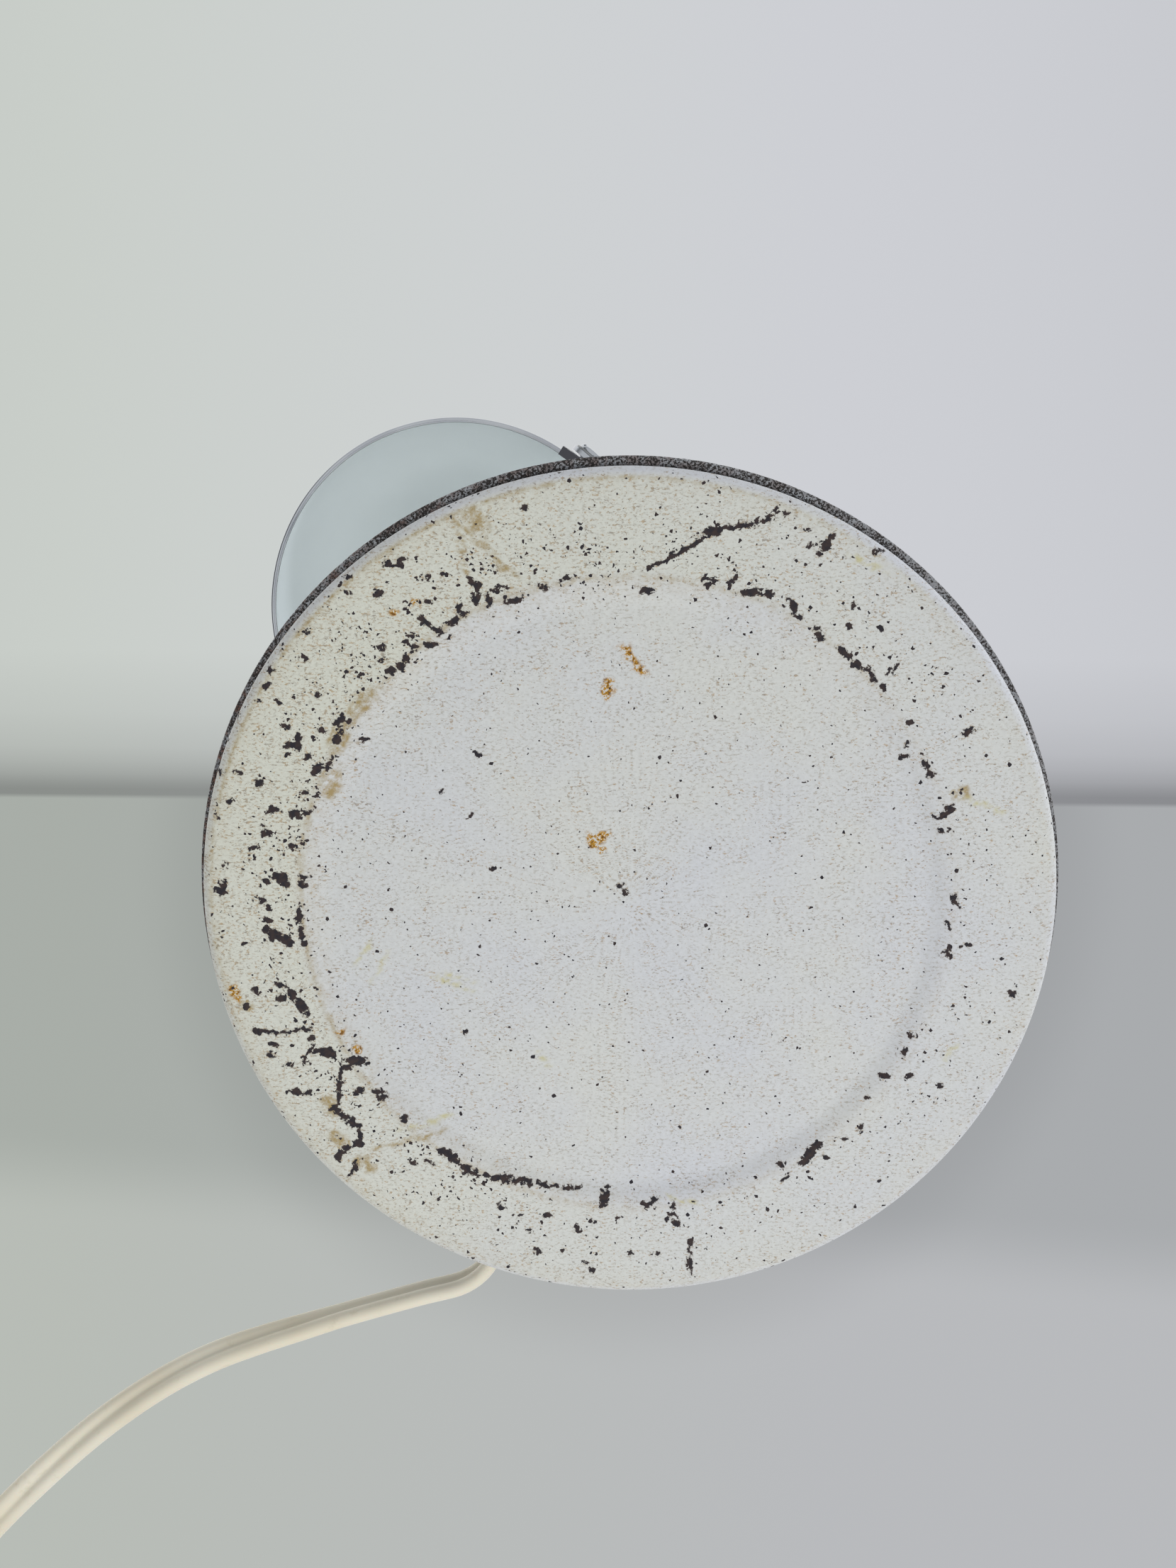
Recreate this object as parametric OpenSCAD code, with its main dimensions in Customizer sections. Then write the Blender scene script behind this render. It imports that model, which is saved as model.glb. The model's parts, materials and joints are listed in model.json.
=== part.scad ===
// Small desk lamp: a weighted round base, a straight stem, a half-ring yoke
// that swivels on the stem, and a chromed dome shade that tilts in the yoke.
//
// The lamp stands on the XY plane with +Z up. The origin is the middle of the
// ring that the base stands on, and the shade reaches towards -Y.
// All sizes are in millimetres.

/* [Base] */
// Outer diameter of the painted bottom pan
pan_d = 150; // [135:1:180]
// Sheet thickness of the bottom pan
pan_t = 1.2; // [0.8:0.1:1.6]
// Rounding of the pan's outer edge
pan_edge_r = 2.6; // [2:0.1:3.6]
// Diameter at which the pressed step starts
step_d = 114; // [100:1:122]
// Width of the step's slope
step_w = 5; // [3:0.5:8]
// How far the pan's middle is pressed up
step_h = 1.4; // [0.8:0.1:2]
// Height of the cover's hem above the standing ring
hem_z = 4.4; // [3.8:0.1:5]
// Thickness of the cover's rolled hem
hem_t = 1.9; // [1.5:0.1:2.4]
// Height of the cover's rolled hem
hem_h = 3.4; // [2.6:0.1:4]
// Sheet thickness of the cover
cover_t = 1; // [0.8:0.1:1.3]
// Top of the cover's straight skirt
skirt_z = 20; // [18:0.5:24]
// Height of the cover's flat top
cover_h = 32; // [30:0.5:40]
// Width of the cover's rounded shoulder
shoulder_w = 19; // [12:0.5:20]

/* [Ballast] */
// Room left around the iron weight
weight_gap = 9; // [7:0.5:14]
// Thickness of the iron weight
weight_t = 9; // [7:0.5:9.5]
// Diameter of the weight's centre boss
boss_d = 32; // [28:1:40]

/* [Stem] */
// Outer diameter of the stem tube
stem_d = 10; // [9:0.5:10.5]
// Wall of the stem tube
stem_t = 1; // [0.8:0.1:1.2]
// Diameter of the collar at the stem's foot
collar_d = 27; // [22:1:36]
// Height of the collar
collar_h = 11; // [8:0.5:16]
// Height of the yoke and of the shade's tilt axis
yoke_z = 171; // [150:1:200]

/* [Yoke] */
// Thickness of the yoke's strip
strip_t = 1.5; // [1.2:0.1:1.8]
// Height of the yoke's strip
strip_h = 12; // [10:0.5:13]
// Room between the shade's rim and the yoke as it tilts
rim_gap = 1.5; // [1.2:0.1:2]
// Height of the swivel hub
hub_h = 13; // [12:0.5:16]
// Diameter of the swivel hub
hub_d = 15.2; // [15:0.1:16.4]
// Width of the hub's seat for the strip
seat_w = 17; // [16:0.5:20]
// Diameter of the neck that the hub turns on
neck_d = 7; // [6.8:0.1:7.4]
// Height of the hub's cap
cap_h = 16.5; // [15.5:0.5:20]

/* [Shade] */
// Outer diameter of the shade's dome
dome_d = 116; // [108:1:124]
// Sheet thickness of the shade
dome_t = 0.8; // [0.6:0.1:1]
// Depth of the straight band below the tilt axis
rim_drop = 6; // [5:0.5:7]
// Radius of the bead rolled along the rim
bead_r = 0.75; // [0.6:0.05:0.9]
// Diameter of the flat seat on the crown
crown_d = 40; // [38:1:46]
// Number of vent holes around the crown
vent_n = 12; // [6:1:16]
// Diameter of a vent hole
vent_d = 5; // [3:0.5:6]
// Diameter of the ring of vent holes
vent_pcd = 54; // [50:1:60]
// Outer diameter of the rear neck
neck_cup_d = 34; // [33:0.5:38]
// Height of the rear neck
neck_cup_h = 21; // [19:0.5:28]

/* [Rim grips] */
// Width of a grip along the rim
grip_w = 16; // [14:0.5:20]
// How far a grip hangs below the rim
grip_lip = 2; // [1.2:0.1:3]

/* [Tilt knob] */
// Diameter of the tilt knob on the left pivot
knob_d = 15; // [13:0.5:20]
// Width of the tilt knob
knob_h = 6; // [5:0.5:9]

/* [Lampholder] */
// Diameter of the lampholder's body
holder_d = 26; // [25:0.5:27]
// Diameter of the glass bulb
bulb_d = 42; // [36:1:45]

/* [Switch] */
// How far the press switch stands in from the pan's edge
switch_in = 29; // [27:1:37]
// Travel of the switch's button
switch_travel = 2.5; // [1.5:0.5:3]

/* [Leads] */
// Width of the flat twin mains cord
cord_w = 6; // [5:0.2:6.4]
// Thickness of the flat twin mains cord
cord_t = 3; // [2.6:0.1:3.2]
// Diameter of the leads inside the lamp
lead_d = 3.6; // [3:0.1:3.8]
// Height of the cord's outlet in the skirt
outlet_z = 14; // [13:0.5:14]

/* [Hidden] */

// Facets on a full round.
fn_big = 96;
fn_small = 48;
// A seam between two pieces of one fit, a running fit, and a plain clearance.
fit = 0.1;
run = 0.05;
slack = 0.3;
// Overrun that makes a cut pass through a face.
cut = 1;

// Base, from the standing ring upwards.
pan_r = pan_d / 2;
pan_h = hem_z + hem_h - 0.4;
step_r = step_d / 2;
floor_z = step_h + pan_t;
cover_in_r = pan_r + fit;
cover_r = cover_in_r + hem_t;
wall_in_r = cover_r - cover_t;
flat_r = cover_r - shoulder_w;
weight_r = cover_in_r - weight_gap;
weight_z = floor_z + weight_t;
boss_r = boss_d / 2;
under_z = cover_h - cover_t;

// Stem and the nut that clamps the base together.
stem_r = stem_d / 2;
bore_r = stem_r - stem_t;
nut_t = 3.8;
nut_r = 9.2;
washer_t = 1;
washer_r = 10.8;
pocket_r = 12;
pocket_z = floor_z + 6.4;
stem_foot_z = floor_z + slack;
side_hole_r = lead_d / 2 + slack;
side_hole_z = weight_z + lead_d / 2 + 0.6;

// Swivel at the stem's top.
hub_r = hub_d / 2;
hub_z = yoke_z - hub_h / 2;
hub_top = yoke_z + hub_h / 2;
disc_t = 0.8;
head_t = 2;
stem_top = hub_z - disc_t - head_t;
neck_r = neck_d / 2;
neck_bore_r = lead_d / 2 + slack;
head_r = hub_r - 0.8;
spigot_l = 12;
hub_nut_t = 3;
hub_nut_r = 6;
neck_top = hub_top + disc_t + hub_nut_t + 0.8;
cap_t = 1;
cap_edge_r = 4;
cap_exit_z = hub_top + 10;

// Shade, its tilt axis and the yoke that holds it.
dome_r = dome_d / 2;
dome_in_r = dome_r - dome_t;
rim_z = yoke_z - rim_drop;
bead_rr = dome_r + 0.2 - bead_r;
rim_r = bead_rr + bead_r;
rim_sweep = norm([rim_r, rim_drop]);
strip_in_r = rim_sweep + rim_gap;
strip_out_r = strip_in_r + strip_t;
hub_front = neck_r + 1.7;
shade_y = -(strip_out_r + hub_front);
crown_r = crown_d / 2;
crown_z = yoke_z + sqrt(dome_r * dome_r - crown_r * crown_r);

// Pivots.
screw_r = 3;
tube_r = 4;
tube_bore_r = lead_d / 2 + slack;
pivot_washer_t = 0.6;
screw_washer_r = 5.4;
tube_washer_r = 5.8;
pivot_nut_r = 5.8;
pivot_ring_r = 5.8;
pivot_nut_t = 3;
bead_in_r = bead_rr - bead_r;
nut_x = sqrt(bead_in_r * bead_in_r - pivot_nut_r * pivot_nut_r) - fit;
ring_x = sqrt(bead_in_r * bead_in_r - pivot_ring_r * pivot_ring_r) - fit;
knob_x = strip_out_r + pivot_washer_t + 2 * run;
tube_x = knob_x + knob_h + 0.8;
grip_clear = 0.35;
grip_sphere = strip_in_r - grip_clear;

// Lampholder and bulb, down the shade's axis.
holder_r = holder_d / 2;
ring_h = 5;
ring_r = holder_r + 5;
collar_t = 2;
cup_t = 1;
cup_r = neck_cup_d / 2;
cup_flange_r = crown_r - 0.5;
cup_z = crown_z + neck_cup_h;
lid_h = 5;
holder_bottom = crown_z - 15.5;
holder_top = cup_z - 3;
socket_r = 8;
sleeve_t = 0.5;
sleeve_r = socket_r - fit;
bulb_r = bulb_d / 2;
thread_r = sleeve_r - sleeve_t - fit;
bulb_foot = holder_bottom + 1.5;
bulb_cap_h = 19;
glass_z = bulb_foot - 3.5 - bulb_r;
entry_z = holder_bottom + 5;

// Press switch on the base's flat top.
switch_r = pan_r - switch_in;
bush_r = 5;
plunger_r = 3.4;
stop_r = 4.6;
switch_body_r = 7.5;
switch_foot = under_z - 15;
ring_nut_t = 2.6;
bush_top = cover_h + ring_nut_t + 1;
button_top = bush_top + 6;

// Leads. The lead's middle lies this far outside the strip.
lead_r = lead_d / 2;
clip_in_r = lead_r + slack;
clip_out_r = clip_in_r + 0.8;
lead_ring = strip_out_r + clip_out_r;
clip_angles = [40, 55, 70];
clip_w = 5;

// The cord's outlet looks along this bearing, counted from +X.
outlet_az = 158;
bushing_r = 4.1;
bushing_flange_r = 6;
bushing_flange_t = 2;
bushing_bore_r = 3.4;

// The mains cord: from inside the skirt down to the table and away.
cord_start_r = 71.9;
cord_route = [[-66.66, 26.93, outlet_z], [-73.25, 29.59, outlet_z], [-76.07, 30.35, outlet_z],
    [-78.99, 30.4, outlet_z], [-81.84, 29.75, 13.9], [-84.45, 28.42, 13.7],
    [-89.2, 24.8, 13.1], [-95.6, 19.9, 11.8], [-102.3, 14.6, 10],
    [-108.5, 9.7, 8.1], [-114.7, 5, 6.4], [-121.5, 0.6, 5],
    [-129.5, -3, 4.1], [-139.5, -6, 3.6], [-151, -8.3, 3.2],
    [-164.5, -9.9, 2.8], [-178, -10.8, 2.3], [-191, -11, 1.8],
    [-203, -11, 1.6], [-213, -11, 1.6]];
// The last stretch of it, from the coil to the plug.
tail_route = [[-254, -51, 10.8], [-254, -56, 10.8], [-254.1, -62, 10.2],
    [-254.3, -69, 8.4], [-254.6, -77, 6.2], [-255.2, -85, 5.2],
    [-255.9, -93, 5.4], [-256.6, -99.5, 6], [-257.2, -105.47, 6]];
coil_at = [-214, -51];
coil_in_r = 25;
coil_out_r = 43;
coil_h = 9.2;
plug_az = 264;
plug_w = 22;
plug_l = 26;
plug_t = 12;
blade_w = 6.3;
blade_t = 1.5;
blade_l = 17;
blade_pitch = 12.7;

// Colours.
chrome = [0.78, 0.79, 0.8];
white = [0.87, 0.87, 0.85];
ivory = [0.9, 0.87, 0.76];
black = [0.09, 0.09, 0.1];
iron = [0.25, 0.25, 0.27];
brass = [0.76, 0.6, 0.3];
steel = [0.62, 0.63, 0.65];
opal = [0.96, 0.95, 0.92];

// Points on an arc, from angle a to angle b in n steps.
function arc(c, r, a, b, n) =
    [for (i = [0:n]) let (t = a + (b - a) * i / n) [c.x + r * cos(t), c.y + r * sin(t)]];
// Points on a quarter of an ellipse, from the side (a = 0) to the top (a = 90).
function bow(c, rx, ry, n) =
    [for (i = [0:n]) let (t = 90 * i / n) [c.x + rx * cos(t), c.y + ry * sin(t)]];
// Points in the opposite order.
function back(p) = [for (i = [len(p) - 1:-1:0]) p[i]];
function unit(v) = v / norm(v);
// Direction of a route at its point i.
function along(p, i) = unit(p[min(i + 1, len(p) - 1)] - p[max(i - 1, 0)]);
// One ring of a swept tube: half widths a and b, turned by roll about the route.
function ring(p, i, a, b, roll, ref, n) =
    let (t = along(p, i), u = unit(cross(ref, t)), v = cross(t, u),
        e = u * cos(roll) + v * sin(roll), f = v * cos(roll) - u * sin(roll))
    [for (k = [0:n - 1]) p[i] + e * a * cos(360 * k / n) + f * b * sin(360 * k / n)];

// A tube along a route, with n sides and closed ends.
module tube(p, a, b, rolls, ref = [0, 0, 1], n = 8) {
    last = len(p) - 1;
    pts = [for (i = [0:last]) each ring(p, i, a, b, rolls[i], ref, n)];
    sides = [for (i = [0:last - 1], k = [0:n - 1]) let (m = (k + 1) % n)
        [i * n + k, (i + 1) * n + k, (i + 1) * n + m, i * n + m]];
    head = [[for (k = [0:n - 1]) k]];
    foot = [[for (k = [n - 1:-1:0]) last * n + k]];
    polyhedron(points = pts, faces = concat(head, sides, foot), convexity = 4);
}

// A ring between two radii.
module pipe(r_out, r_in, h, fn = fn_small) {
    difference() {
        cylinder(r = r_out, h = h, $fn = fn);
        translate([0, 0, -cut]) cylinder(r = r_in, h = h + 2 * cut, $fn = fn);
    }
}

// A hexagon nut.
module hex_nut(r, r_in, h) {
    difference() {
        cylinder(r = r, h = h, $fn = 6);
        translate([0, 0, -cut]) cylinder(r = r_in, h = h + 2 * cut, $fn = fn_small);
    }
}

// A disc or pin across the lamp, from x0 to x1 on the tilt axis.
module on_axis(r, x0, x1, fn = fn_small) {
    translate([x0, shade_y, yoke_z]) rotate([0, 90, 0]) cylinder(r = r, h = x1 - x0, $fn = fn);
}

// The painted pressing that closes the base from below.
module bottom_pan() {
    slope = [for (i = [0:8]) [step_r - step_w + step_w * i / 8, step_h * (1 + cos(22.5 * i)) / 2]];
    edge = arc([pan_r - pan_edge_r, pan_edge_r], pan_edge_r, -90, 0, 8);
    inner = arc([pan_r - pan_edge_r, pan_edge_r], pan_edge_r - pan_t, -90, 0, 6);
    raised = [for (p = slope) p + [0, pan_t]];
    color(white) rotate_extrude($fn = fn_big) polygon(concat([[0, step_h]], slope, edge,
        [[pan_r, pan_h], [pan_r - pan_t, pan_h]], back(inner), back(raised), [[0, floor_z]]));
}

// The cast-iron weight: a disc with a boss that meets the cover's underside.
module iron_weight() {
    color(iron) difference() {
        union() {
            translate([0, 0, floor_z]) rotate_extrude($fn = fn_big) polygon([[0, 0],
                [weight_r - 2, 0], [weight_r, 2], [weight_r, weight_t - 2],
                [weight_r - 2, weight_t], [0, weight_t]]);
            translate([0, 0, weight_z - cut]) cylinder(r = boss_r, h = under_z - weight_z + cut, $fn = fn_big);
        }
        translate([0, 0, floor_z - cut]) cylinder(r = stem_r + fit, h = cover_h, $fn = fn_small);
        translate([0, 0, floor_z - cut]) cylinder(r = pocket_r, h = pocket_z - floor_z + cut, $fn = fn_small);
        rotate(outlet_az) translate([0, -lead_d, weight_z]) cube([boss_r + cut, 2 * lead_d, 2 * lead_d]);
        for (s = [-1, 1]) rotate(outlet_az) translate([clamp_x, s * clamp_pitch / 2, weight_z - 7])
            cylinder(r = clamp_screw_r, h = 7 + cut, $fn = fn_small);
    }
}

clamp_x = weight_r - 12;
clamp_pitch = 14;
clamp_screw_r = 1.6;
clamp_h = 5.4;

// The spun cover with its rolled hem.
module base_cover() {
    hem = concat(arc([cover_in_r + hem_t / 2, hem_z + hem_t / 2], hem_t / 2, 180, 360, 10));
    outer = bow([flat_r, skirt_z], shoulder_w, cover_h - skirt_z, 14);
    inner = bow([flat_r, skirt_z], shoulder_w - cover_t, cover_h - skirt_z - cover_t, 14);
    color(chrome) difference() {
        rotate_extrude($fn = fn_big) polygon(concat(hem, outer, [[stem_r + run, cover_h],
            [stem_r + run, under_z]], back(inner), [[wall_in_r, hem_z + hem_h + hem_t / 2],
            [cover_in_r, hem_z + hem_h]]));
        rotate(outlet_az) translate([wall_in_r - 4, 0, outlet_z]) rotate([0, 90, 0])
            cylinder(r = bushing_r + fit, h = 8, $fn = fn_small);
        translate([0, -switch_r, under_z - cut]) cylinder(r = bush_r + fit, h = cover_t + 2 * cut, $fn = fn_small);
    }
}

// The nut and washer that clamp stem, weight and cover together.
module stem_nut() {
    color(steel) translate([0, 0, pocket_z - washer_t - nut_t]) hex_nut(nut_r, stem_r + run, nut_t);
}

module stem_washer() {
    color(steel) translate([0, 0, pocket_z - washer_t]) pipe(washer_r, stem_r + run, washer_t);
}

// The bushing that guards the cord where it leaves the skirt.
module cord_bushing() {
    lip = 1.4;
    in_x = wall_in_r - slack - lip;
    color(black) rotate(outlet_az) translate([0, 0, outlet_z]) rotate([0, 90, 0]) rotate_extrude($fn = fn_small)
        polygon(concat([[bushing_bore_r, in_x], [bushing_flange_r - 0.6, in_x], [bushing_flange_r - 0.6, in_x + lip],
            [bushing_r, in_x + lip], [bushing_r, cover_r], [bushing_flange_r, cover_r]],
            arc([bushing_flange_r - 1, cover_r + bushing_flange_t - 1], 1, 0, 90, 4),
            [[bushing_bore_r + 0.8, cover_r + bushing_flange_t], [bushing_bore_r, cover_r + bushing_flange_t - 0.8]]));
}

// The saddle on the weight that takes the pull of the cord.
module cord_clamp() {
    color(steel) difference() {
        rotate(outlet_az) translate([clamp_x, 0, weight_z]) difference() {
            translate([-3.5, -clamp_pitch / 2 - 3, 0]) cube([7, clamp_pitch + 6, clamp_h]);
            for (s = [-1, 1]) translate([0, s * clamp_pitch / 2, -cut])
                cylinder(r = clamp_screw_r + fit, h = clamp_h + 2 * cut, $fn = fn_small);
        }
        rotate(outlet_az) translate([clamp_x - 5, -cord_w / 2 - slack, weight_z - cut])
            cube([10, cord_w + 2 * slack, lead_d + 1 + cut]);
    }
}

module clamp_screws() {
    color(steel) for (s = [-1, 1]) rotate(outlet_az) translate([clamp_x, s * clamp_pitch / 2, 0]) {
        translate([0, 0, weight_z - 6]) cylinder(r = clamp_screw_r - run, h = 6 + clamp_h, $fn = fn_small);
        translate([0, 0, weight_z + clamp_h]) cylinder(r = 2.8, h = 1.8, $fn = fn_small);
    }
}

// The press switch: a body under the cover, its ring nut and its button.
module switch_body() {
    color(black) translate([0, -switch_r, 0]) difference() {
        union() {
            translate([0, 0, switch_foot]) cylinder(r = switch_body_r, h = under_z - switch_foot, $fn = fn_small);
            translate([0, 0, under_z - cut]) cylinder(r = bush_r, h = bush_top - under_z + cut, $fn = fn_small);
        }
        translate([0, 0, switch_foot + 2]) cylinder(r = stop_r, h = under_z - switch_foot - 4, $fn = fn_small);
        translate([0, 0, switch_foot + 2]) cylinder(r = plunger_r + run, h = bush_top, $fn = fn_small);
    }
}

module switch_nut() {
    ribs = 24;
    color(chrome) translate([0, -switch_r, cover_h]) difference() {
        pipe(8, bush_r + fit, ring_nut_t);
        for (i = [0:ribs - 1]) rotate(360 * i / ribs) translate([8.2, 0, -cut])
            cylinder(r = 0.5, h = ring_nut_t + 2 * cut, $fn = 16);
    }
}

module switch_button() {
    color(black) translate([0, -switch_r, 0]) union() {
        translate([0, 0, under_z - 5 - slack]) cylinder(r = stop_r - fit, h = 3, $fn = fn_small);
        translate([0, 0, under_z - 5 - slack]) rotate_extrude($fn = fn_small)
            polygon(concat([[0, 0], [plunger_r, 0]],
                arc([plunger_r - 1.4, button_top - under_z + 5 + slack - 1.4], 1.4, 0, 90, 5),
                [[0, button_top - under_z + 5 + slack]]));
    }
}

// The turned collar at the stem's foot.
module stem_collar() {
    foot = 2.4;
    flare = collar_h - foot - 1;
    r = collar_d / 2;
    top = stem_r + 2.2;
    color(chrome) translate([0, 0, cover_h]) rotate_extrude($fn = fn_big) polygon(concat(
        [[stem_r + run, 0], [r - 0.5, 0], [r, 0.5], [r, foot - 0.5], [r - 0.5, foot]],
        [for (i = [1:10]) let (t = 9 * i) [top + (r - 1.5 - top) * (1 - sin(t)), foot + flare * (1 - cos(t))]],
        [[top, collar_h - 0.5], [top - 0.5, collar_h], [stem_r + run, collar_h]]));
}

module stem_tube() {
    color(chrome) difference() {
        translate([0, 0, stem_foot_z]) pipe(stem_r, bore_r, stem_top - stem_foot_z);
        rotate(outlet_az) translate([0, 0, side_hole_z]) rotate([0, 90, 0])
            cylinder(r = side_hole_r, h = stem_d, $fn = fn_small);
    }
}

// The turned head: a spigot in the tube, a flange and the neck for the hub.
module stem_head() {
    color(chrome) rotate_extrude($fn = fn_small) polygon([[neck_bore_r, stem_top - spigot_l],
        [bore_r - run, stem_top - spigot_l], [bore_r - run, stem_top], [head_r - 0.4, stem_top],
        [head_r, stem_top + 0.4], [head_r, stem_top + head_t], [neck_r, stem_top + head_t],
        [neck_r, neck_top - 0.4], [neck_r - 0.4, neck_top], [neck_bore_r, neck_top]]);
}

module lower_washer() {
    color(white) translate([0, 0, hub_z - disc_t]) pipe(head_r - 0.4, neck_r + run, disc_t);
}

module upper_washer() {
    color(white) translate([0, 0, hub_top]) pipe(head_r - 1, neck_r + run, disc_t);
}

module swivel_nut() {
    color(steel) translate([0, 0, hub_top + disc_t]) hex_nut(hub_nut_r, neck_r + run, hub_nut_t);
}

// The hub that turns on the stem, with a hollowed front that seats the strip.
module swivel_hub() {
    color(chrome) difference() {
        union() {
            translate([0, 0, hub_z]) cylinder(r = hub_r, h = hub_h, $fn = fn_small);
            translate([-seat_w / 2, -hub_front - 3, hub_z + 0.5]) cube([seat_w, hub_front + 1.2, hub_h - 1]);
        }
        translate([0, 0, hub_z - cut]) cylinder(r = neck_r + run, h = hub_h + 2 * cut, $fn = fn_small);
        translate([0, shade_y, hub_z - cut]) cylinder(r = strip_out_r, h = hub_h + 2 * cut, $fn = fn_big);
        for (s = [-1, 1]) translate([s * screw_x, -hub_front - 4, yoke_z]) rotate([-90, 0, 0])
            cylinder(r = yoke_screw_r, h = hub_front + 4 + yoke_screw_in, $fn = fn_small);
    }
}

screw_x = 5.9;
yoke_screw_r = 1.3;
yoke_screw_in = 0;

// The hollow cap over the swivel nut, with the lead's way out in its side.
module hub_cap() {
    top = hub_top + cap_h;
    color(chrome) difference() {
        rotate_extrude($fn = fn_small) polygon(concat([[hub_r - cap_t, hub_top], [hub_r, hub_top]],
            arc([hub_r - cap_edge_r, top - cap_edge_r], cap_edge_r, 0, 90, 8), [[0, top], [0, top - cap_t]],
            back(arc([hub_r - cap_edge_r, top - cap_edge_r], cap_edge_r - cap_t, 0, 90, 8))));
        translate([-hub_d, 0, cap_exit_z]) rotate([0, 90, 0]) cylinder(r = lead_r + fit, h = hub_d, $fn = fn_small);
    }
}

// The half-ring yoke: a flat strip with round ends beyond its pivots.
module yoke() {
    color(chrome) difference() {
        union() {
            translate([0, shade_y, yoke_z - strip_h / 2]) rotate_extrude(angle = 180, $fn = fn_big)
                translate([strip_in_r, 0]) square([strip_t, strip_h]);
            for (x = [strip_in_r, -strip_out_r]) on_axis(strip_h / 2, x, x + strip_t);
        }
        on_axis(screw_r + run, strip_in_r - cut, strip_out_r + cut);
        on_axis(tube_r + run, -strip_out_r - cut, -strip_in_r + cut);
        for (s = [-1, 1]) translate([s * screw_x, 0, yoke_z]) rotate([90, 0, 0]) {
            cylinder(r = yoke_screw_r + fit, h = 4 * hub_front, $fn = fn_small);
            translate([0, 0, screw_face - sink_h]) cylinder(r1 = yoke_screw_r + fit,
                r2 = yoke_screw_r + fit + sink_h + 0.4, h = sink_h + 0.4, $fn = fn_small);
        }
        for (a = clip_angles) translate([0, shade_y, yoke_z + clip_rivet_z]) rotate(90 + a) rotate([0, 90, 0])
            cylinder(r = rivet_r + fit, h = lead_ring, $fn = 24);
    }
}

rivet_r = 0.9;
clip_rivet_z = 3.9;
sink_h = 1.1;
screw_face = -shade_y - sqrt(strip_in_r * strip_in_r - screw_x * screw_x) - 0.15;

// The screws that hold the strip to the hub.
module yoke_screws() {
    color(steel) for (s = [-1, 1]) translate([s * screw_x, 0, yoke_z]) rotate([90, 0, 0])
        rotate_extrude($fn = fn_small) polygon([[0, 0], [yoke_screw_r - run, 0],
            [yoke_screw_r - run, screw_face - sink_h], [yoke_screw_r - run + sink_h, screw_face],
            [0, screw_face]]);
}

// The clips that hold the lead along the yoke, and their rivets.
module lead_clips() {
    color(black) for (a = clip_angles) translate([0, shade_y, yoke_z]) rotate(90 + a) difference() {
        union() {
            translate([lead_ring, -clip_w / 2, -1.4]) rotate([-90, 0, 0])
                cylinder(r = clip_out_r, h = clip_w, $fn = fn_small);
            translate([strip_out_r + 0.06, -clip_w / 2, -1.4]) cube([0.9, clip_w, strip_h / 2 + 1.2]);
        }
        translate([lead_ring, -clip_w / 2 - cut, -1.4]) rotate([-90, 0, 0])
            cylinder(r = clip_in_r, h = clip_w + 2 * cut, $fn = fn_small);
        translate([0, 0, clip_rivet_z]) rotate([0, 90, 0]) cylinder(r = rivet_r + fit, h = lead_ring + 9, $fn = 24);
        cylinder(r = strip_out_r + 0.05, h = 4 * strip_h, center = true, $fn = fn_big);
    }
}

module clip_rivets() {
    color(steel) for (a = clip_angles) translate([0, shade_y, yoke_z + clip_rivet_z]) rotate(90 + a)
        rotate([0, 90, 0]) translate([0, 0, strip_in_r + 0.05]) {
            cylinder(r = rivet_r, h = strip_t + 1, $fn = 24);
            translate([0, 0, strip_t + 1]) cylinder(r = 1.7, h = 0.7, $fn = 24);
        }
}

// The knob on the left pivot that locks the tilt.
module tilt_knob() {
    ribs = 18;
    r = knob_d / 2;
    color(black) translate([-knob_x, shade_y, yoke_z]) rotate([0, -90, 0]) difference() {
        rotate_extrude($fn = fn_small) polygon(concat([[tube_r + run, 0], [r - 1.2, 0], [r - 0.4, 0.8],
            [r, 0.8]], arc([r - 1, knob_h - 1], 1, 0, 90, 4), [[tube_r + run, knob_h]]));
        for (i = [0:ribs - 1]) rotate(360 * i / ribs) translate([r + 0.3, 0, 0.8])
            cylinder(r = 0.8, h = knob_h + cut, $fn = 16);
    }
}

// The lead from the stem's top along the yoke to the left pivot.
function yoke_point(a, z) = [-lead_ring * sin(a), shade_y + lead_ring * cos(a), z];
lead_z = yoke_z - 1.4;
bow_x = tube_x + 5;
arm_route = concat([[0, 0, neck_top + slack], [0, 0, cap_exit_z - 5], [-0.7, 0, cap_exit_z - 2.5],
    [-2.5, 0, cap_exit_z - 0.7], [-5, 0, cap_exit_z], [-hub_r - 0.6, 0, cap_exit_z],
    [-hub_r - 4, -0.6, cap_exit_z - 1.2], yoke_point(14.5, lead_z + 12), yoke_point(19, lead_z + 6.6),
    yoke_point(24, lead_z + 2.4), yoke_point(29, lead_z + 0.4)],
    [for (a = [35:5:75]) yoke_point(a, lead_z)],
    [[-bow_x + 2.4, shade_y + 10.5, lead_z], [-bow_x - 0.2, shade_y + 6.8, yoke_z - 0.9],
    [-bow_x - 0.6, shade_y + 3.2, yoke_z - 0.3], [-bow_x + 0.9, shade_y + 0.9, yoke_z],
    [-tube_x - 1.8, shade_y, yoke_z], [-tube_x + 1.5, shade_y, yoke_z]]);

module arm_lead() {
    color(ivory) tube(arm_route, lead_r, lead_r, [for (p = arm_route) 22.5], [1, -1, 0.5]);
}

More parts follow.
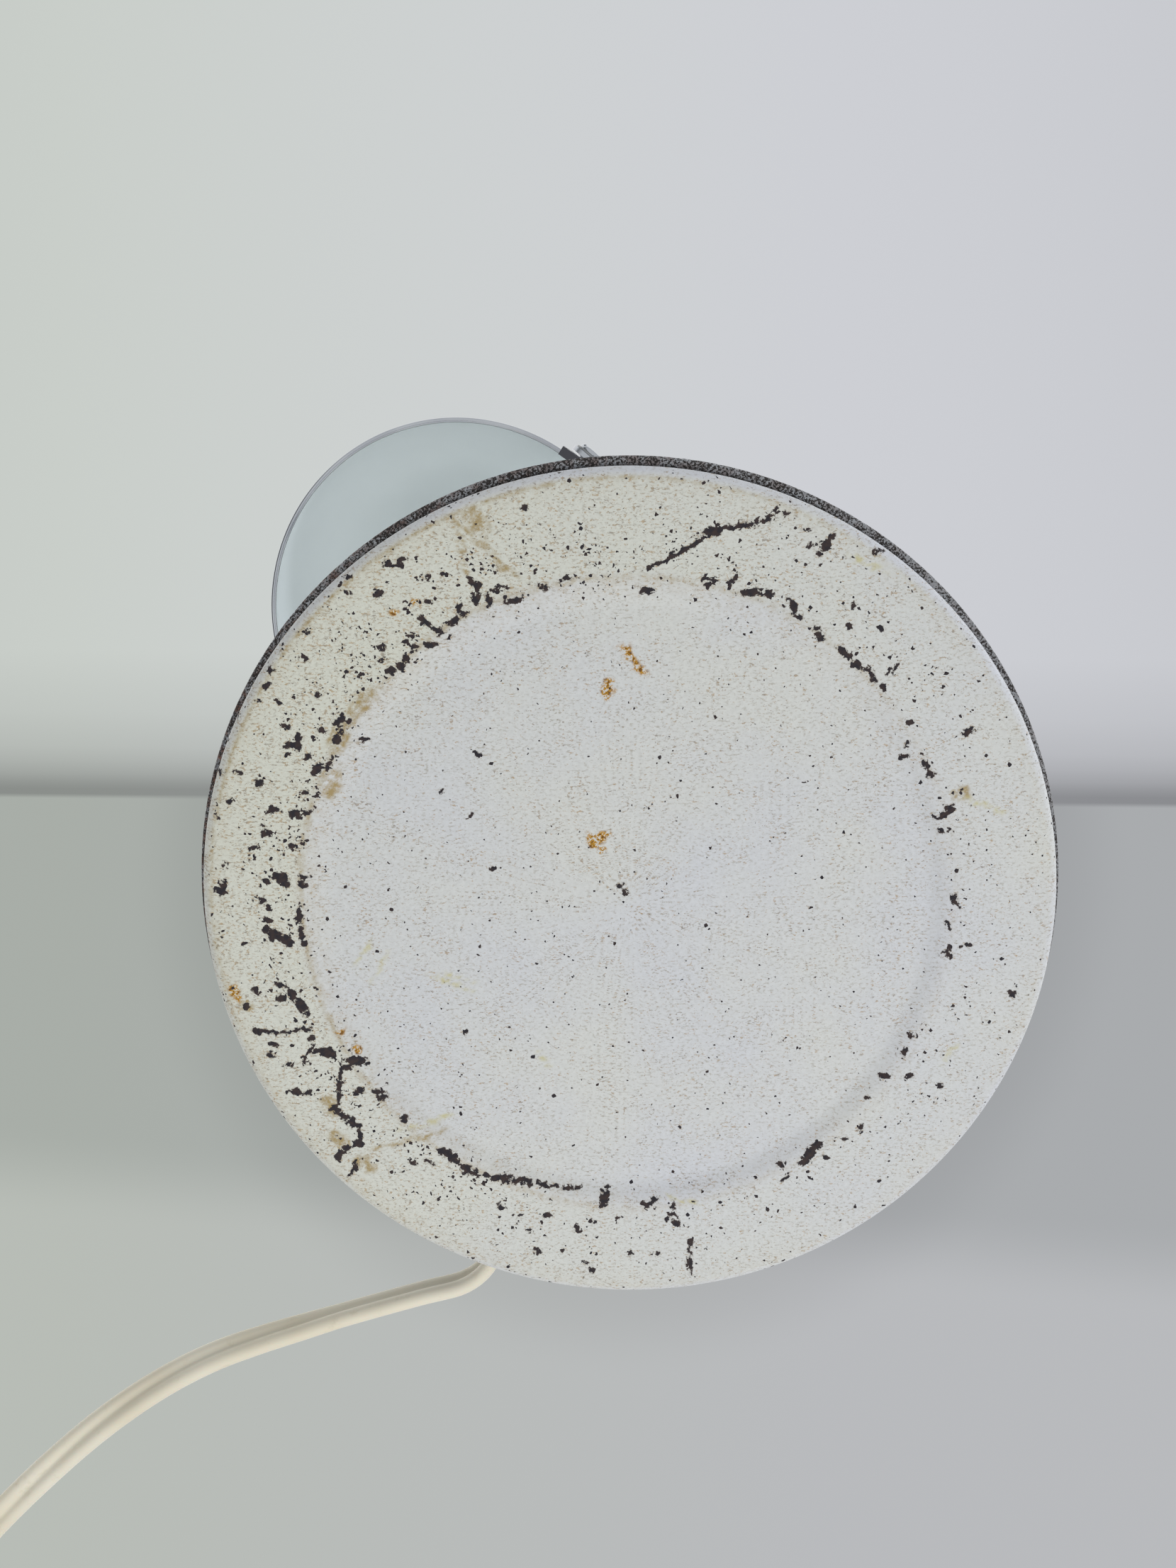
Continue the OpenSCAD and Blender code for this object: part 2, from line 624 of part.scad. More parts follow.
// The screw of the right pivot, the washers of both pivots and the right nut.
module pivot_screw() {
    head = 1.4;
    x = strip_out_r + pivot_washer_t + 2 * run;
    color(chrome) translate([0, shade_y, yoke_z]) rotate([0, 90, 0]) rotate_extrude($fn = fn_small)
        polygon(concat([[0, nut_x - pivot_nut_t - 1], [screw_r, nut_x - pivot_nut_t - 1], [screw_r, x], [4.6, x],
            [4.6, x + head - 0.8]], arc([3.8, x + head - 0.8], 0.8, 0, 90, 5), [[0, x + head]]));
}

module pivot_washers() {
    color(steel) {
        translate([strip_out_r + run, shade_y, yoke_z]) rotate([0, 90, 0])
            pipe(screw_washer_r, screw_r + run, pivot_washer_t);
        translate([-strip_out_r - run, shade_y, yoke_z]) rotate([0, -90, 0])
            pipe(tube_washer_r, tube_r + run, pivot_washer_t);
    }
}

module pivot_nut() {
    color(steel) translate([nut_x - pivot_nut_t, shade_y, yoke_z]) rotate([0, 90, 0])
        hex_nut(pivot_nut_r, screw_r + run, pivot_nut_t);
}

// The hollow left pivot, which lets the lead into the shade, and its ring nut.
module pivot_tube() {
    color(steel) translate([0, shade_y, yoke_z]) rotate([0, -90, 0]) rotate_extrude($fn = fn_small)
        polygon([[tube_bore_r, ring_x - pivot_nut_t - 1], [tube_r, ring_x - pivot_nut_t - 1],
            [tube_r, tube_x - 0.3], [tube_r - 0.3, tube_x], [tube_bore_r, tube_x]]);
}

module pivot_ring() {
    color(steel) translate([-ring_x, shade_y, yoke_z]) rotate([0, 90, 0])
        pipe(pivot_ring_r, tube_r + run, pivot_nut_t);
}

// A moulded grip that hooks round the rim and backs the pivot on side s.
// Its outer face is part of a ball about the tilt axis, so it clears the yoke.
module rim_grip(s, hole_r) {
    half = asin(grip_w / 2 / grip_sphere);
    in_r = bead_rr - bead_r - 0.3;
    low = -rim_drop - grip_lip;
    high = grip_w / 2 - 1;
    from = asin(low / grip_sphere);
    to = asin(high / grip_sphere);
    under = -rim_drop - fit;
    over = -rim_drop + 2 * bead_r + fit;
    color(black) difference() {
        translate([0, shade_y, yoke_z]) rotate(90 - 90 * s - half) rotate_extrude(angle = 2 * half, $fn = fn_big)
            polygon(concat([[in_r, low]], arc([0, 0], grip_sphere, from, to, 8),
                back(arc([0, 0], dome_r + fit, 0, asin(high / (dome_r + fit)), 4)),
                [[dome_r + fit, over], [rim_r + fit, over], [rim_r + fit, under], [in_r, under]]));
        on_axis(hole_r + fit, s > 0 ? in_r - cut : -grip_sphere - cut, s > 0 ? grip_sphere + cut : -in_r + cut);
    }
}

module rim_grip_right() {
    rim_grip(1, screw_r);
}

module rim_grip_left() {
    rim_grip(-1, tube_r);
}

// The spun dome, white inside, with a bead along its rim and vents round its crown.
module shade() {
    top = acos(crown_r / dome_r);
    inner_crown = crown_z - dome_t;
    top_in = asin((inner_crown - yoke_z) / dome_in_r);
    bead = arc([bead_rr, rim_z + bead_r], bead_r, 150, 400, 12);
    color(chrome) difference() {
        translate([0, shade_y, 0]) rotate_extrude($fn = fn_big) polygon(concat(
            [[dome_in_r, rim_z + 2 * bead_r]], bead, [[dome_r, rim_z + 2 * bead_r]],
            arc([0, yoke_z], dome_r, 0, top, 24), [[holder_r + fit, crown_z], [holder_r + fit, inner_crown]],
            back(arc([0, yoke_z], dome_in_r, 0, top_in, 24))));
        on_axis(screw_r + fit, dome_in_r - 4, dome_r + 2);
        on_axis(tube_r + fit, -dome_r - 2, 4 - dome_in_r);
        for (i = [0:vent_n - 1]) translate([0, shade_y, yoke_z]) rotate(360 * (i + 0.5) / vent_n)
            rotate([0, asin(vent_pcd / dome_d), 0]) translate([0, 0, dome_r - 6])
                cylinder(r = vent_d / 2, h = 10, $fn = 32);
    }
}

// The ring that clamps the shade to the lampholder.
module shade_ring() {
    ribs = 20;
    color(black) translate([0, shade_y, crown_z - dome_t - ring_h]) difference() {
        pipe(ring_r, holder_r + run, ring_h);
        for (i = [0:ribs - 1]) rotate(360 * i / ribs) translate([ring_r + 0.3, 0, -cut])
            cylinder(r = 0.9, h = ring_h - 1, $fn = 16);
    }
}

// The slotted neck behind the crown, and its lid.
module neck_cup() {
    slots = 8;
    color(chrome) translate([0, shade_y, crown_z]) difference() {
        rotate_extrude($fn = fn_small) polygon([[holder_r + fit, 0], [cup_flange_r - 0.4, 0], [cup_flange_r, 0.4],
            [cup_flange_r, 1], [cup_flange_r - 0.4, 1.4], [cup_r + 0.8, 1.4], [cup_r, 2.2], [cup_r, neck_cup_h],
            [cup_r - cup_t, neck_cup_h], [cup_r - cup_t, 1], [holder_r + fit, 1]]);
        for (i = [0:slots - 1]) rotate(360 * (i + 0.5) / slots) translate([cup_r - 4, -1.25, 6])
            cube([8, 2.5, neck_cup_h - 10]);
    }
}

module neck_cap() {
    slots = 3;
    lid_r = cup_r + 0.5;
    plug_r = cup_r - cup_t - fit;
    color(black) translate([0, shade_y, cup_z]) difference() {
        rotate_extrude($fn = fn_small) polygon(concat([[0, 0], [plug_r - 1.4, 0], [plug_r - 1.4, -2], [plug_r, -2],
            [plug_r, 0], [lid_r, 0], [lid_r, 1.2]], arc([lid_r - 3.5, 1.2], 3.5, 0, 90, 8), [[0, lid_h]]));
        for (i = [0:slots - 1]) translate([-7, 5 * (i - 1) - 1, 2]) cube([14, 2, lid_h]);
    }
}

// The lampholder: a body with a flange above the crown, a brass sleeve and a contact.
module holder_body() {
    color(black) difference() {
        translate([0, shade_y, 0]) rotate_extrude($fn = fn_small) polygon([[socket_r, holder_bottom],
            [holder_r - 0.6, holder_bottom], [holder_r, holder_bottom + 0.6], [holder_r, crown_z + 1],
            [holder_r + 2, crown_z + 1], [holder_r + 2, crown_z + 1 + collar_t],
            [holder_r - 1, crown_z + 1 + collar_t], [holder_r - 1, holder_top], [0, holder_top],
            [0, bulb_foot + bulb_cap_h + 5], [socket_r, bulb_foot + bulb_cap_h + 5]]);
        translate([-holder_r - cut, shade_y, entry_z]) rotate([0, 90, 0])
            cylinder(r = lead_r + fit, h = holder_r - socket_r - 1 + cut, $fn = fn_small);
    }
}

module holder_sleeve() {
    color(brass) translate([0, shade_y, bulb_foot]) pipe(sleeve_r, sleeve_r - sleeve_t, bulb_cap_h - 1);
}

module holder_contact() {
    color(brass) translate([0, shade_y, bulb_foot + bulb_cap_h + 2]) cylinder(r = 4, h = 3, $fn = fn_small);
}

// The screw bulb: its cap and its opal glass.
module bulb_cap() {
    color(brass) translate([0, shade_y, bulb_foot]) rotate_extrude($fn = fn_small) polygon([[0, 0], [thread_r, 0],
        [thread_r, bulb_cap_h - 3], [thread_r - 2, bulb_cap_h - 0.5], [2.6, bulb_cap_h + 0.6],
        [2.2, bulb_cap_h + 2 - run], [0, bulb_cap_h + 2 - run]]);
}

module bulb_glass() {
    t = 0.8;
    throat = 7.2;
    low = asin((glass_z + bulb_r * sin(52) - glass_z) / bulb_r);
    outer = arc([0, glass_z], bulb_r, -90, low, 20);
    inner = arc([0, glass_z], bulb_r - t, -90, low, 20);
    color(opal) translate([0, shade_y, 0]) rotate_extrude($fn = fn_small) polygon(concat(outer,
        [[throat + 0.6, glass_z + bulb_r - 0.4], [throat, bulb_foot - run], [throat - t, bulb_foot - run],
        [throat - t + 0.4, glass_z + bulb_r - 1]], back(inner)));
}

// The lead from the left pivot up inside the dome to the lampholder.
shade_route = [[-tube_x + 2, shade_y, yoke_z], [-strip_out_r + 3, shade_y, yoke_z],
    [-dome_in_r + 7, shade_y, yoke_z], [-dome_in_r + 9.8, shade_y, yoke_z + 1.6],
    [-dome_in_r + 11.4, shade_y, yoke_z + 4.8], [-dome_in_r + 12, shade_y, yoke_z + 10],
    [-dome_in_r + 14.5, shade_y, yoke_z + 19], [-dome_in_r + 20, shade_y, yoke_z + 29],
    [-dome_in_r + 28, shade_y, entry_z - 4.6], [-dome_in_r + 34, shade_y, entry_z - 1.3],
    [-holder_r - 4, shade_y, entry_z], [-socket_r - 1.4, shade_y, entry_z]];

module shade_lead() {
    color(ivory) tube(shade_route, lead_r, lead_r, [for (p = shade_route) 22.5], [0, 1, 0]);
}

// A point in the base on the outlet's bearing.
function inward(r, z) = [r * cos(outlet_az), r * sin(outlet_az), z];
stem_route = [inward(cord_start_r - slack, outlet_z), inward(weight_r - 1, outlet_z),
    inward(clamp_x + 4, weight_z + lead_r + 0.4),
    inward(clamp_x - 4, weight_z + lead_r + 0.4), inward(boss_r + 6, side_hole_z), inward(stem_r, side_hole_z),
    inward(2, side_hole_z + 0.2), [0, 0, side_hole_z + 3], [0, 0, side_hole_z + 12], [0, 0, yoke_z / 2],
    [0, 0, neck_top]];

module stem_lead() {
    color(ivory) tube(stem_route, lead_r, lead_r, [for (p = stem_route) 22.5], [0, 1, 0]);
}

// The lead from the switch to the clamp.
switch_route = [[-switch_body_r - 0.5, -switch_r, switch_foot + 3], [-switch_body_r - 6, -switch_r, switch_foot + 1],
    [-24, -switch_r + 8, weight_z + lead_r + 0.3], [-36, -22, weight_z + lead_r + 0.3],
    [-44, -6, weight_z + lead_r + 0.3], inward(clamp_x - 9, weight_z + lead_r + 0.3) - [0, 7, 0]];

module switch_lead() {
    color(ivory) tube(switch_route, lead_r, lead_r, [for (p = switch_route) 22.5], [0, 0, 1]);
}

// The flat mains cord rolls from edge-on at the base to flat at the coil.
function cord_roll(i) = 90 * (1 - min(1, max(0, (i - 8) / 8)));

module mains_cord() {
    color(ivory) tube(cord_route, cord_w / 2, cord_t / 2, [for (i = [0:len(cord_route) - 1]) cord_roll(i)]);
}

module cord_coil() {
    color(ivory) translate([coil_at.x, coil_at.y, 0]) rotate_extrude($fn = fn_big) polygon(concat(
        arc([coil_out_r - 1.5, 1.5], 1.5, -90, 0, 4), arc([coil_out_r - 1.5, coil_h - 1.5], 1.5, 0, 90, 4),
        arc([coil_in_r + 1.5, coil_h - 1.5], 1.5, 90, 180, 4), arc([coil_in_r + 1.5, 1.5], 1.5, 180, 270, 4)));
}

module cord_tail() {
    color(ivory) tube(tail_route, cord_w / 2, cord_t / 2, [for (p = tail_route) 0]);
}

// The plug at the cord's end, with its two flat blades.
plug_at = tail_route[len(tail_route) - 1];

module plug_body() {
    color(ivory) translate(plug_at) rotate(plug_az) difference() {
        hull() {
            translate([0, 0, 0]) rotate([0, 90, 0]) cylinder(r = 4.2, h = 2, $fn = 32);
            for (y = [-plug_w / 2 + 3, plug_w / 2 - 3], z = [-plug_t / 2 + 3, plug_t / 2 - 3])
                translate([plug_l - 14, y, z]) rotate([0, 90, 0]) cylinder(r = 3, h = 14, $fn = 32);
        }
        for (y = [-blade_pitch / 2, blade_pitch / 2]) translate([plug_l - 8, y - blade_t / 2, -blade_w / 2])
            cube([8 + cut, blade_t, blade_w]);
    }
}

module plug_blades() {
    color(brass) translate(plug_at) rotate(plug_az) for (y = [-blade_pitch / 2, blade_pitch / 2])
        translate([plug_l - 8, y - blade_t / 2, -blade_w / 2]) difference() {
            cube([8 + blade_l, blade_t, blade_w]);
            translate([8 + blade_l - 4, -cut, blade_w / 2]) rotate([-90, 0, 0])
                cylinder(r = 1.6, h = blade_t + 2 * cut, $fn = 24);
        }
}

bottom_pan();
iron_weight();
base_cover();
stem_nut();
stem_washer();
cord_bushing();
cord_clamp();
clamp_screws();
switch_body();
switch_nut();
switch_button();
stem_collar();
stem_tube();
stem_head();
lower_washer();
swivel_hub();
upper_washer();
swivel_nut();
hub_cap();
yoke();
yoke_screws();
lead_clips();
clip_rivets();
arm_lead();
pivot_screw();
pivot_washers();
pivot_nut();
pivot_tube();
pivot_ring();
tilt_knob();
rim_grip_right();
rim_grip_left();
shade();
shade_ring();
neck_cup();
neck_cap();
holder_body();
holder_sleeve();
holder_contact();
bulb_cap();
bulb_glass();
shade_lead();
stem_lead();
switch_lead();
mains_cord();
cord_coil();
cord_tail();
plug_body();
plug_blades();
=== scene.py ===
import json
import logging
import math
from dataclasses import dataclass
from enum import Enum
from typing import Callable, Sequence

import bmesh
import bpy
import numpy as np
from mathutils import Matrix, Vector

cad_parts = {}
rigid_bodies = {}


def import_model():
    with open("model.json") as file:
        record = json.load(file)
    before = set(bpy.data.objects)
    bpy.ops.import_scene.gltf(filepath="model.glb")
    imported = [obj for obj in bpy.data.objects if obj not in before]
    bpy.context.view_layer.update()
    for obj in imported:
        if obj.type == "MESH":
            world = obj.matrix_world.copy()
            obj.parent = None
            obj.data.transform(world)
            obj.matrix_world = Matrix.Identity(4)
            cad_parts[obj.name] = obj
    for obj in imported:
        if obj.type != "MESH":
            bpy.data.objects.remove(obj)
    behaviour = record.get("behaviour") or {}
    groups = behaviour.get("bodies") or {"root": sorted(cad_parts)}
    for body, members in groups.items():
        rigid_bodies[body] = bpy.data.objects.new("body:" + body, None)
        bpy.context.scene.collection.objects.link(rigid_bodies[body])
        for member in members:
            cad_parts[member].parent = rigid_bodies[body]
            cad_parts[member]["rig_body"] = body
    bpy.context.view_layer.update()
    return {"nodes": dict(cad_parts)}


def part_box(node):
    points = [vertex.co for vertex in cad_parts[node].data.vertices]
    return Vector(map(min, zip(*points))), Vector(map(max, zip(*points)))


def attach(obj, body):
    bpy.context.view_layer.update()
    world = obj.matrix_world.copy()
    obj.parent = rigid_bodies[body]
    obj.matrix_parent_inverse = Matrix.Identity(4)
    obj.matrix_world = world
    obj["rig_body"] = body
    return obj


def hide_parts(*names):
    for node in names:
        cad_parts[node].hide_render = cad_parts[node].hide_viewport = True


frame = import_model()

MM = 0.001
log = logging.getLogger("desk_lamp")

Point = Pair = tuple[float, float]
Triple = tuple[float, float, float]
Route = list[Vector]
Tree = bpy.types.NodeTree
Socket = bpy.types.NodeSocket

# Which way is right on the underside as it is faced.
RIGHT_X, RIGHT_Y = 0.6611, 0.7503
# The shade's axis, the height of the yoke and of the pivots in it, and how far out the pivots' tubes reach.
SHADE_Y, YOKE_Z, TUBE_X = -66.708, 171.0, 69.008
# How a Mix node blends two colours, and how a MapRange node eases in and out.
RGBA = {"out": 2, "data_type": "RGBA"}
EASED = {"interpolation_type": "SMOOTHSTEP"}
# How a VectorMath node measures along a direction.
DOT = {"out": "Value", "operation": "DOT_PRODUCT"}


class Body(Enum):
    """The bodies that pieces ride on."""

    BASE = "base"
    BUTTON = "button"
    YOKE = "yoke_arm"
    HEAD = "lamp_head"
    LOCK = "tilt_lock"


class Slot(Enum):
    """The record's material slots."""

    CHROME = "chrome_plate"
    ENAMEL = "white_enamel"
    BAKELITE = "black_bakelite"
    IRON = "cast_iron"
    ZINC = "zinc_steel"
    BRASS = "brass"
    OPAL = "opal_glass"
    CABLE = "ivory_cable"
    PLASTIC = "ivory_plastic"
    FIBRE = "white_fibre"


# --- small tools -----------------------------------------------------------


def tint(code: str) -> tuple[float, float, float, float]:
    """Turn an sRGB hex colour into the linear colour that a shader reads.

    Args:
        code: the colour as six hex digits, with or without a leading #.

    Returns:
        Linear red, green and blue, and an alpha of 1.
    """
    digits = code.lstrip("#")
    parts = [int(digits[i : i + 2], 16) / 255 for i in (0, 2, 4)]
    r, g, b = (c / 12.92 if c <= 0.04045 else ((c + 0.055) / 1.055) ** 2.4 for c in parts)
    return (r, g, b, 1.0)


def add_node(
    tree: Tree,
    kind: str,
    feeds: dict[int | str, object] | None = None,
    out: int | str = 0,
    stops: Sequence[tuple[float, str]] = (),
    **settings: object,
) -> Socket:
    """Add one node, set it, feed it and give back the socket that carries its result.

    Args:
        tree: the material's or world's node tree.
        kind: the node's type, without its "ShaderNode" prefix.
        feeds: what goes into each input, a socket to link, a hex colour or a value. "From" and "To" each
            set a pair of inputs, the Min and the Max.
        out: the output that is wanted.
        stops: places and colours along a colour ramp.
        settings: the node's own settings.

    Returns:
        The wanted output socket, or the node's first input where it has no output.
    """
    node = tree.nodes.new("ShaderNode" + kind)
    for name, value in settings.items():
        setattr(node, name, value)
    for place, colour in stops:
        elements = node.color_ramp.elements
        if place in (0.0, 1.0):
            elements[0 if place == 0.0 else len(elements) - 1].color = tint(colour)
        else:
            elements.new(place).color = tint(colour)
    for name, value in (feeds or {}).items():
        if isinstance(value, Socket):
            tree.links.new(value, node.inputs[name])
        elif name in ("From", "To"):
            node.inputs[name + " Min"].default_value, node.inputs[name + " Max"].default_value = value
        else:
            node.inputs[name].default_value = tint(value) if isinstance(value, str) else value
    return node.outputs[out] if len(node.outputs) else node.inputs[0]


def blank_material(name: str) -> bpy.types.Material:
    """Make a material with an empty node tree."""
    material = bpy.data.materials.new(name)
    material.use_nodes = True
    material.node_tree.nodes.clear()
    return material


def as_mesh(name: str, bm: bmesh.types.BMesh) -> bpy.types.Mesh:
    """Turn an editing mesh into a mesh and free it."""
    mesh = bpy.data.meshes.new(name)
    bm.to_mesh(mesh)
    bm.free()
    return mesh


def add_object(name: str, data: bpy.types.ID) -> bpy.types.Object:
    """Put an object with the given data in the scene."""
    thing = bpy.data.objects.new(name, data)
    bpy.context.scene.collection.objects.link(thing)
    return thing


def body_of(node: str) -> Body:
    """Give the body that a solid rides on."""
    return Body(frame["nodes"][node]["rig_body"])


def arc(centre: Point, radius: float, start: float, end: float, steps: int) -> list[Point]:
    """Points on a circular arc in a profile, in millimetres.

    Args:
        centre: the arc's centre as (radius from the axis, height).
        radius: the arc's radius.
        start: the first angle in degrees.
        end: the last angle in degrees.
        steps: the number of steps.

    Returns:
        The points from start to end.
    """
    turns = [math.radians(start + (end - start) * i / steps) for i in range(steps + 1)]
    return [(centre[0] + radius * math.cos(t), centre[1] + radius * math.sin(t)) for t in turns]


def bow(centre: Point, across: float, up: float, steps: int) -> list[Point]:
    """Points on a quarter of an ellipse in a profile, from its side to its top.

    Args:
        centre: the ellipse's centre as (radius, height).
        across: its half width.
        up: its half height.
        steps: the number of steps.

    Returns:
        The points from the side to the top.
    """
    turns = [math.radians(90 * i / steps) for i in range(steps + 1)]
    return [(centre[0] + across * math.cos(t), centre[1] + up * math.sin(t)) for t in turns]


def turned(profile: Sequence[Point], steps: int, closed: bool = False) -> bmesh.types.BMesh:
    """Make a turned shape about the Z axis, with its faces outwards.

    Args:
        profile: points as (radius, height) in millimetres.
        steps: the number of facets round the axis.
        closed: whether the last point joins the first.

    Returns:
        A new mesh with the shape.
    """
    bm = bmesh.new()
    verts = [bm.verts.new((r * MM, 0, z * MM)) for r, z in profile]
    pairs = list(zip(verts, verts[1:]))
    if closed:
        pairs.append((verts[-1], verts[0]))
    edges = [bm.edges.new(pair) for pair in pairs]
    bmesh.ops.spin(
        bm, geom=verts + edges, cent=(0, 0, 0), axis=(0, 0, 1), angle=2 * math.pi, steps=steps, use_merge=True
    )
    bmesh.ops.remove_doubles(bm, verts=bm.verts, dist=2e-6)
    bmesh.ops.recalc_face_normals(bm, faces=bm.faces)
    return bm


def block(size: Sequence[float], edge: float = 0.0) -> bmesh.types.BMesh:
    """Make a block about the origin with bevelled edges.

    Args:
        size: its width, depth and height in millimetres.
        edge: the bevel's width in millimetres.

    Returns:
        A new mesh with the block.
    """
    bm = bmesh.new()
    bmesh.ops.create_cube(bm, size=1.0)
    bmesh.ops.scale(bm, vec=[s * MM for s in size], verts=bm.verts)
    if edge:
        bmesh.ops.bevel(
            bm, geom=bm.edges[:], offset=edge * MM, segments=3, profile=0.5, affect="EDGES", material=-1,
            clamp_overlap=True,
        )
    return bm


def place(bm: bmesh.types.BMesh, *steps: Matrix) -> bmesh.types.BMesh:
    """Move a mesh through the given matrices, the last one first.

    Args:
        bm: the mesh to move.
        steps: the matrices, written as in a product.

    Returns:
        The same mesh.
    """
    whole = Matrix.Identity(4)
    for step in steps:
        whole = whole @ step
    bmesh.ops.transform(bm, matrix=whole, verts=bm.verts)
    return bm


def shift(x: float, y: float, z: float) -> Matrix:
    """Give the matrix of a move in millimetres."""
    return Matrix.Translation(Vector((x, y, z)) * MM)


def turn(degrees: float, axis: str) -> Matrix:
    """Give the matrix of a turn about X, Y or Z."""
    return Matrix.Rotation(math.radians(degrees), 4, axis)


def merge_into(target: bmesh.types.BMesh, part: bmesh.types.BMesh) -> None:
    """Add one mesh to another and free it."""
    spare = as_mesh("spare", part)
    target.from_mesh(spare)
    bpy.data.meshes.remove(spare)


# --- finishes --------------------------------------------------------------


@dataclass(frozen=True)
class Patches:
    """A noise of a real size in millimetres, the part of its values that counts and what that part gives."""

    size: float
    detail: float = 2.0
    rough: float = 0.5
    within: Pair = (0.0, 1.0)
    gives: Pair = (0.0, 1.0)
    distort: float = 0.0
    stretch: Triple | None = None
    slant: float = 0.6

    def wire(self, tree: Tree, spot: Socket) -> Socket:
        """Build the pattern.

        Args:
            tree: the node tree.
            spot: the coordinates in metres.

        Returns:
            The pattern's values.
        """
        if self.stretch:
            stretched = {"Vector": spot, "Scale": self.stretch, "Rotation": (0, 0, self.slant)}
            spot = add_node(tree, "Mapping", stretched)
        size = {"Vector": spot, "Scale": 1 / (self.size * MM)}
        kind = {"Detail": self.detail, "Roughness": self.rough, "Distortion": self.distort}
        noise = add_node(tree, "TexNoise", {**size, **kind})
        if self.within == self.gives:
            return noise
        return add_node(tree, "MapRange", {"Value": noise, "From": self.within, "To": self.gives})


@dataclass(frozen=True, kw_only=True)
class Finish:
    """A finish made from nodes: the colours and grain of one real material."""

    name: str
    slot: Slot
    fixed: tuple[tuple[str, float], ...] = ()

    def wire(self, tree: Tree, spot: Socket) -> dict[str, object]:
        """Build the pattern.

        Args:
            tree: the material's node tree.
            spot: the Object coordinates.

        Returns:
            What feeds each input of the shader. The base colour is a list: the lowest colour, and then each
            coat over it as (where it lies, its colour).
        """
        return {"Base Color": ["#808080"]}

    def made(self) -> bpy.types.Material:
        """Give the material, made the first time that it is asked for."""
        ready = bpy.data.materials.get(self.name)
        if ready:
            return ready
        material = blank_material(self.name)
        tree = material.node_tree
        feeds = {**dict(self.fixed), **self.wire(tree, add_node(tree, "TexCoord", out="Object"))}
        colour, *coats = feeds["Base Color"]
        for where, coat in coats:
            colour = add_node(tree, "Mix", {0: where, 6: colour, 7: coat}, **RGBA)
        surface = add_node(tree, "BsdfPrincipled", {**feeds, "Base Color": colour})
        add_node(tree, "OutputMaterial", {"Surface": surface})
        return material


@dataclass(frozen=True, kw_only=True)
class ChromePlate(Finish):
    """Nickel-chrome plate, polished and kept indoors: bright, with faint hazing and a few pin-holes."""

    name: str = "polished_chrome_plate"
    slot: Slot = Slot.CHROME
    light: str = "#CFD2D6"
    hazed: str = "#B9BCC2"
    pit: str = "#4A4038"

    def wire(self, tree: Tree, spot: Socket) -> dict[str, object]:
        """Build haze, wiping marks and pin-holes, as Finish.wire says."""
        haze = Patches(25, 4, within=(0.4, 0.7)).wire(tree, spot)
        # Pin-holes are 0.3 mm wide, about 3 mm apart, and only some of the cells have one.
        hole = add_node(tree, "TexVoronoi", {"Vector": spot, "Scale": 1 / 0.003}, out="Distance")
        limit = Patches(11, within=(0.56, 0.75), gives=(0.0, 0.11)).wire(tree, spot)
        pit = add_node(tree, "Math", {0: hole, 1: limit}, operation="LESS_THAN")
        rough = add_node(tree, "MapRange", {"Value": haze, "To": (0.07, 0.2)})
        rough = add_node(tree, "Math", {0: rough, 1: pit}, operation="MAXIMUM", use_clamp=True)
        bright = add_node(tree, "Math", {0: 1.0, 1: pit}, operation="SUBTRACT")
        wave = Patches(12, 1).wire(tree, spot)
        bump = add_node(tree, "Bump", {"Height": wave, "Strength": 0.12, "Distance": 0.15 * MM})
        coats = [self.light, (haze, self.hazed), (pit, self.pit)]
        return {"Base Color": coats, "Roughness": rough, "Metallic": bright, "Normal": bump}


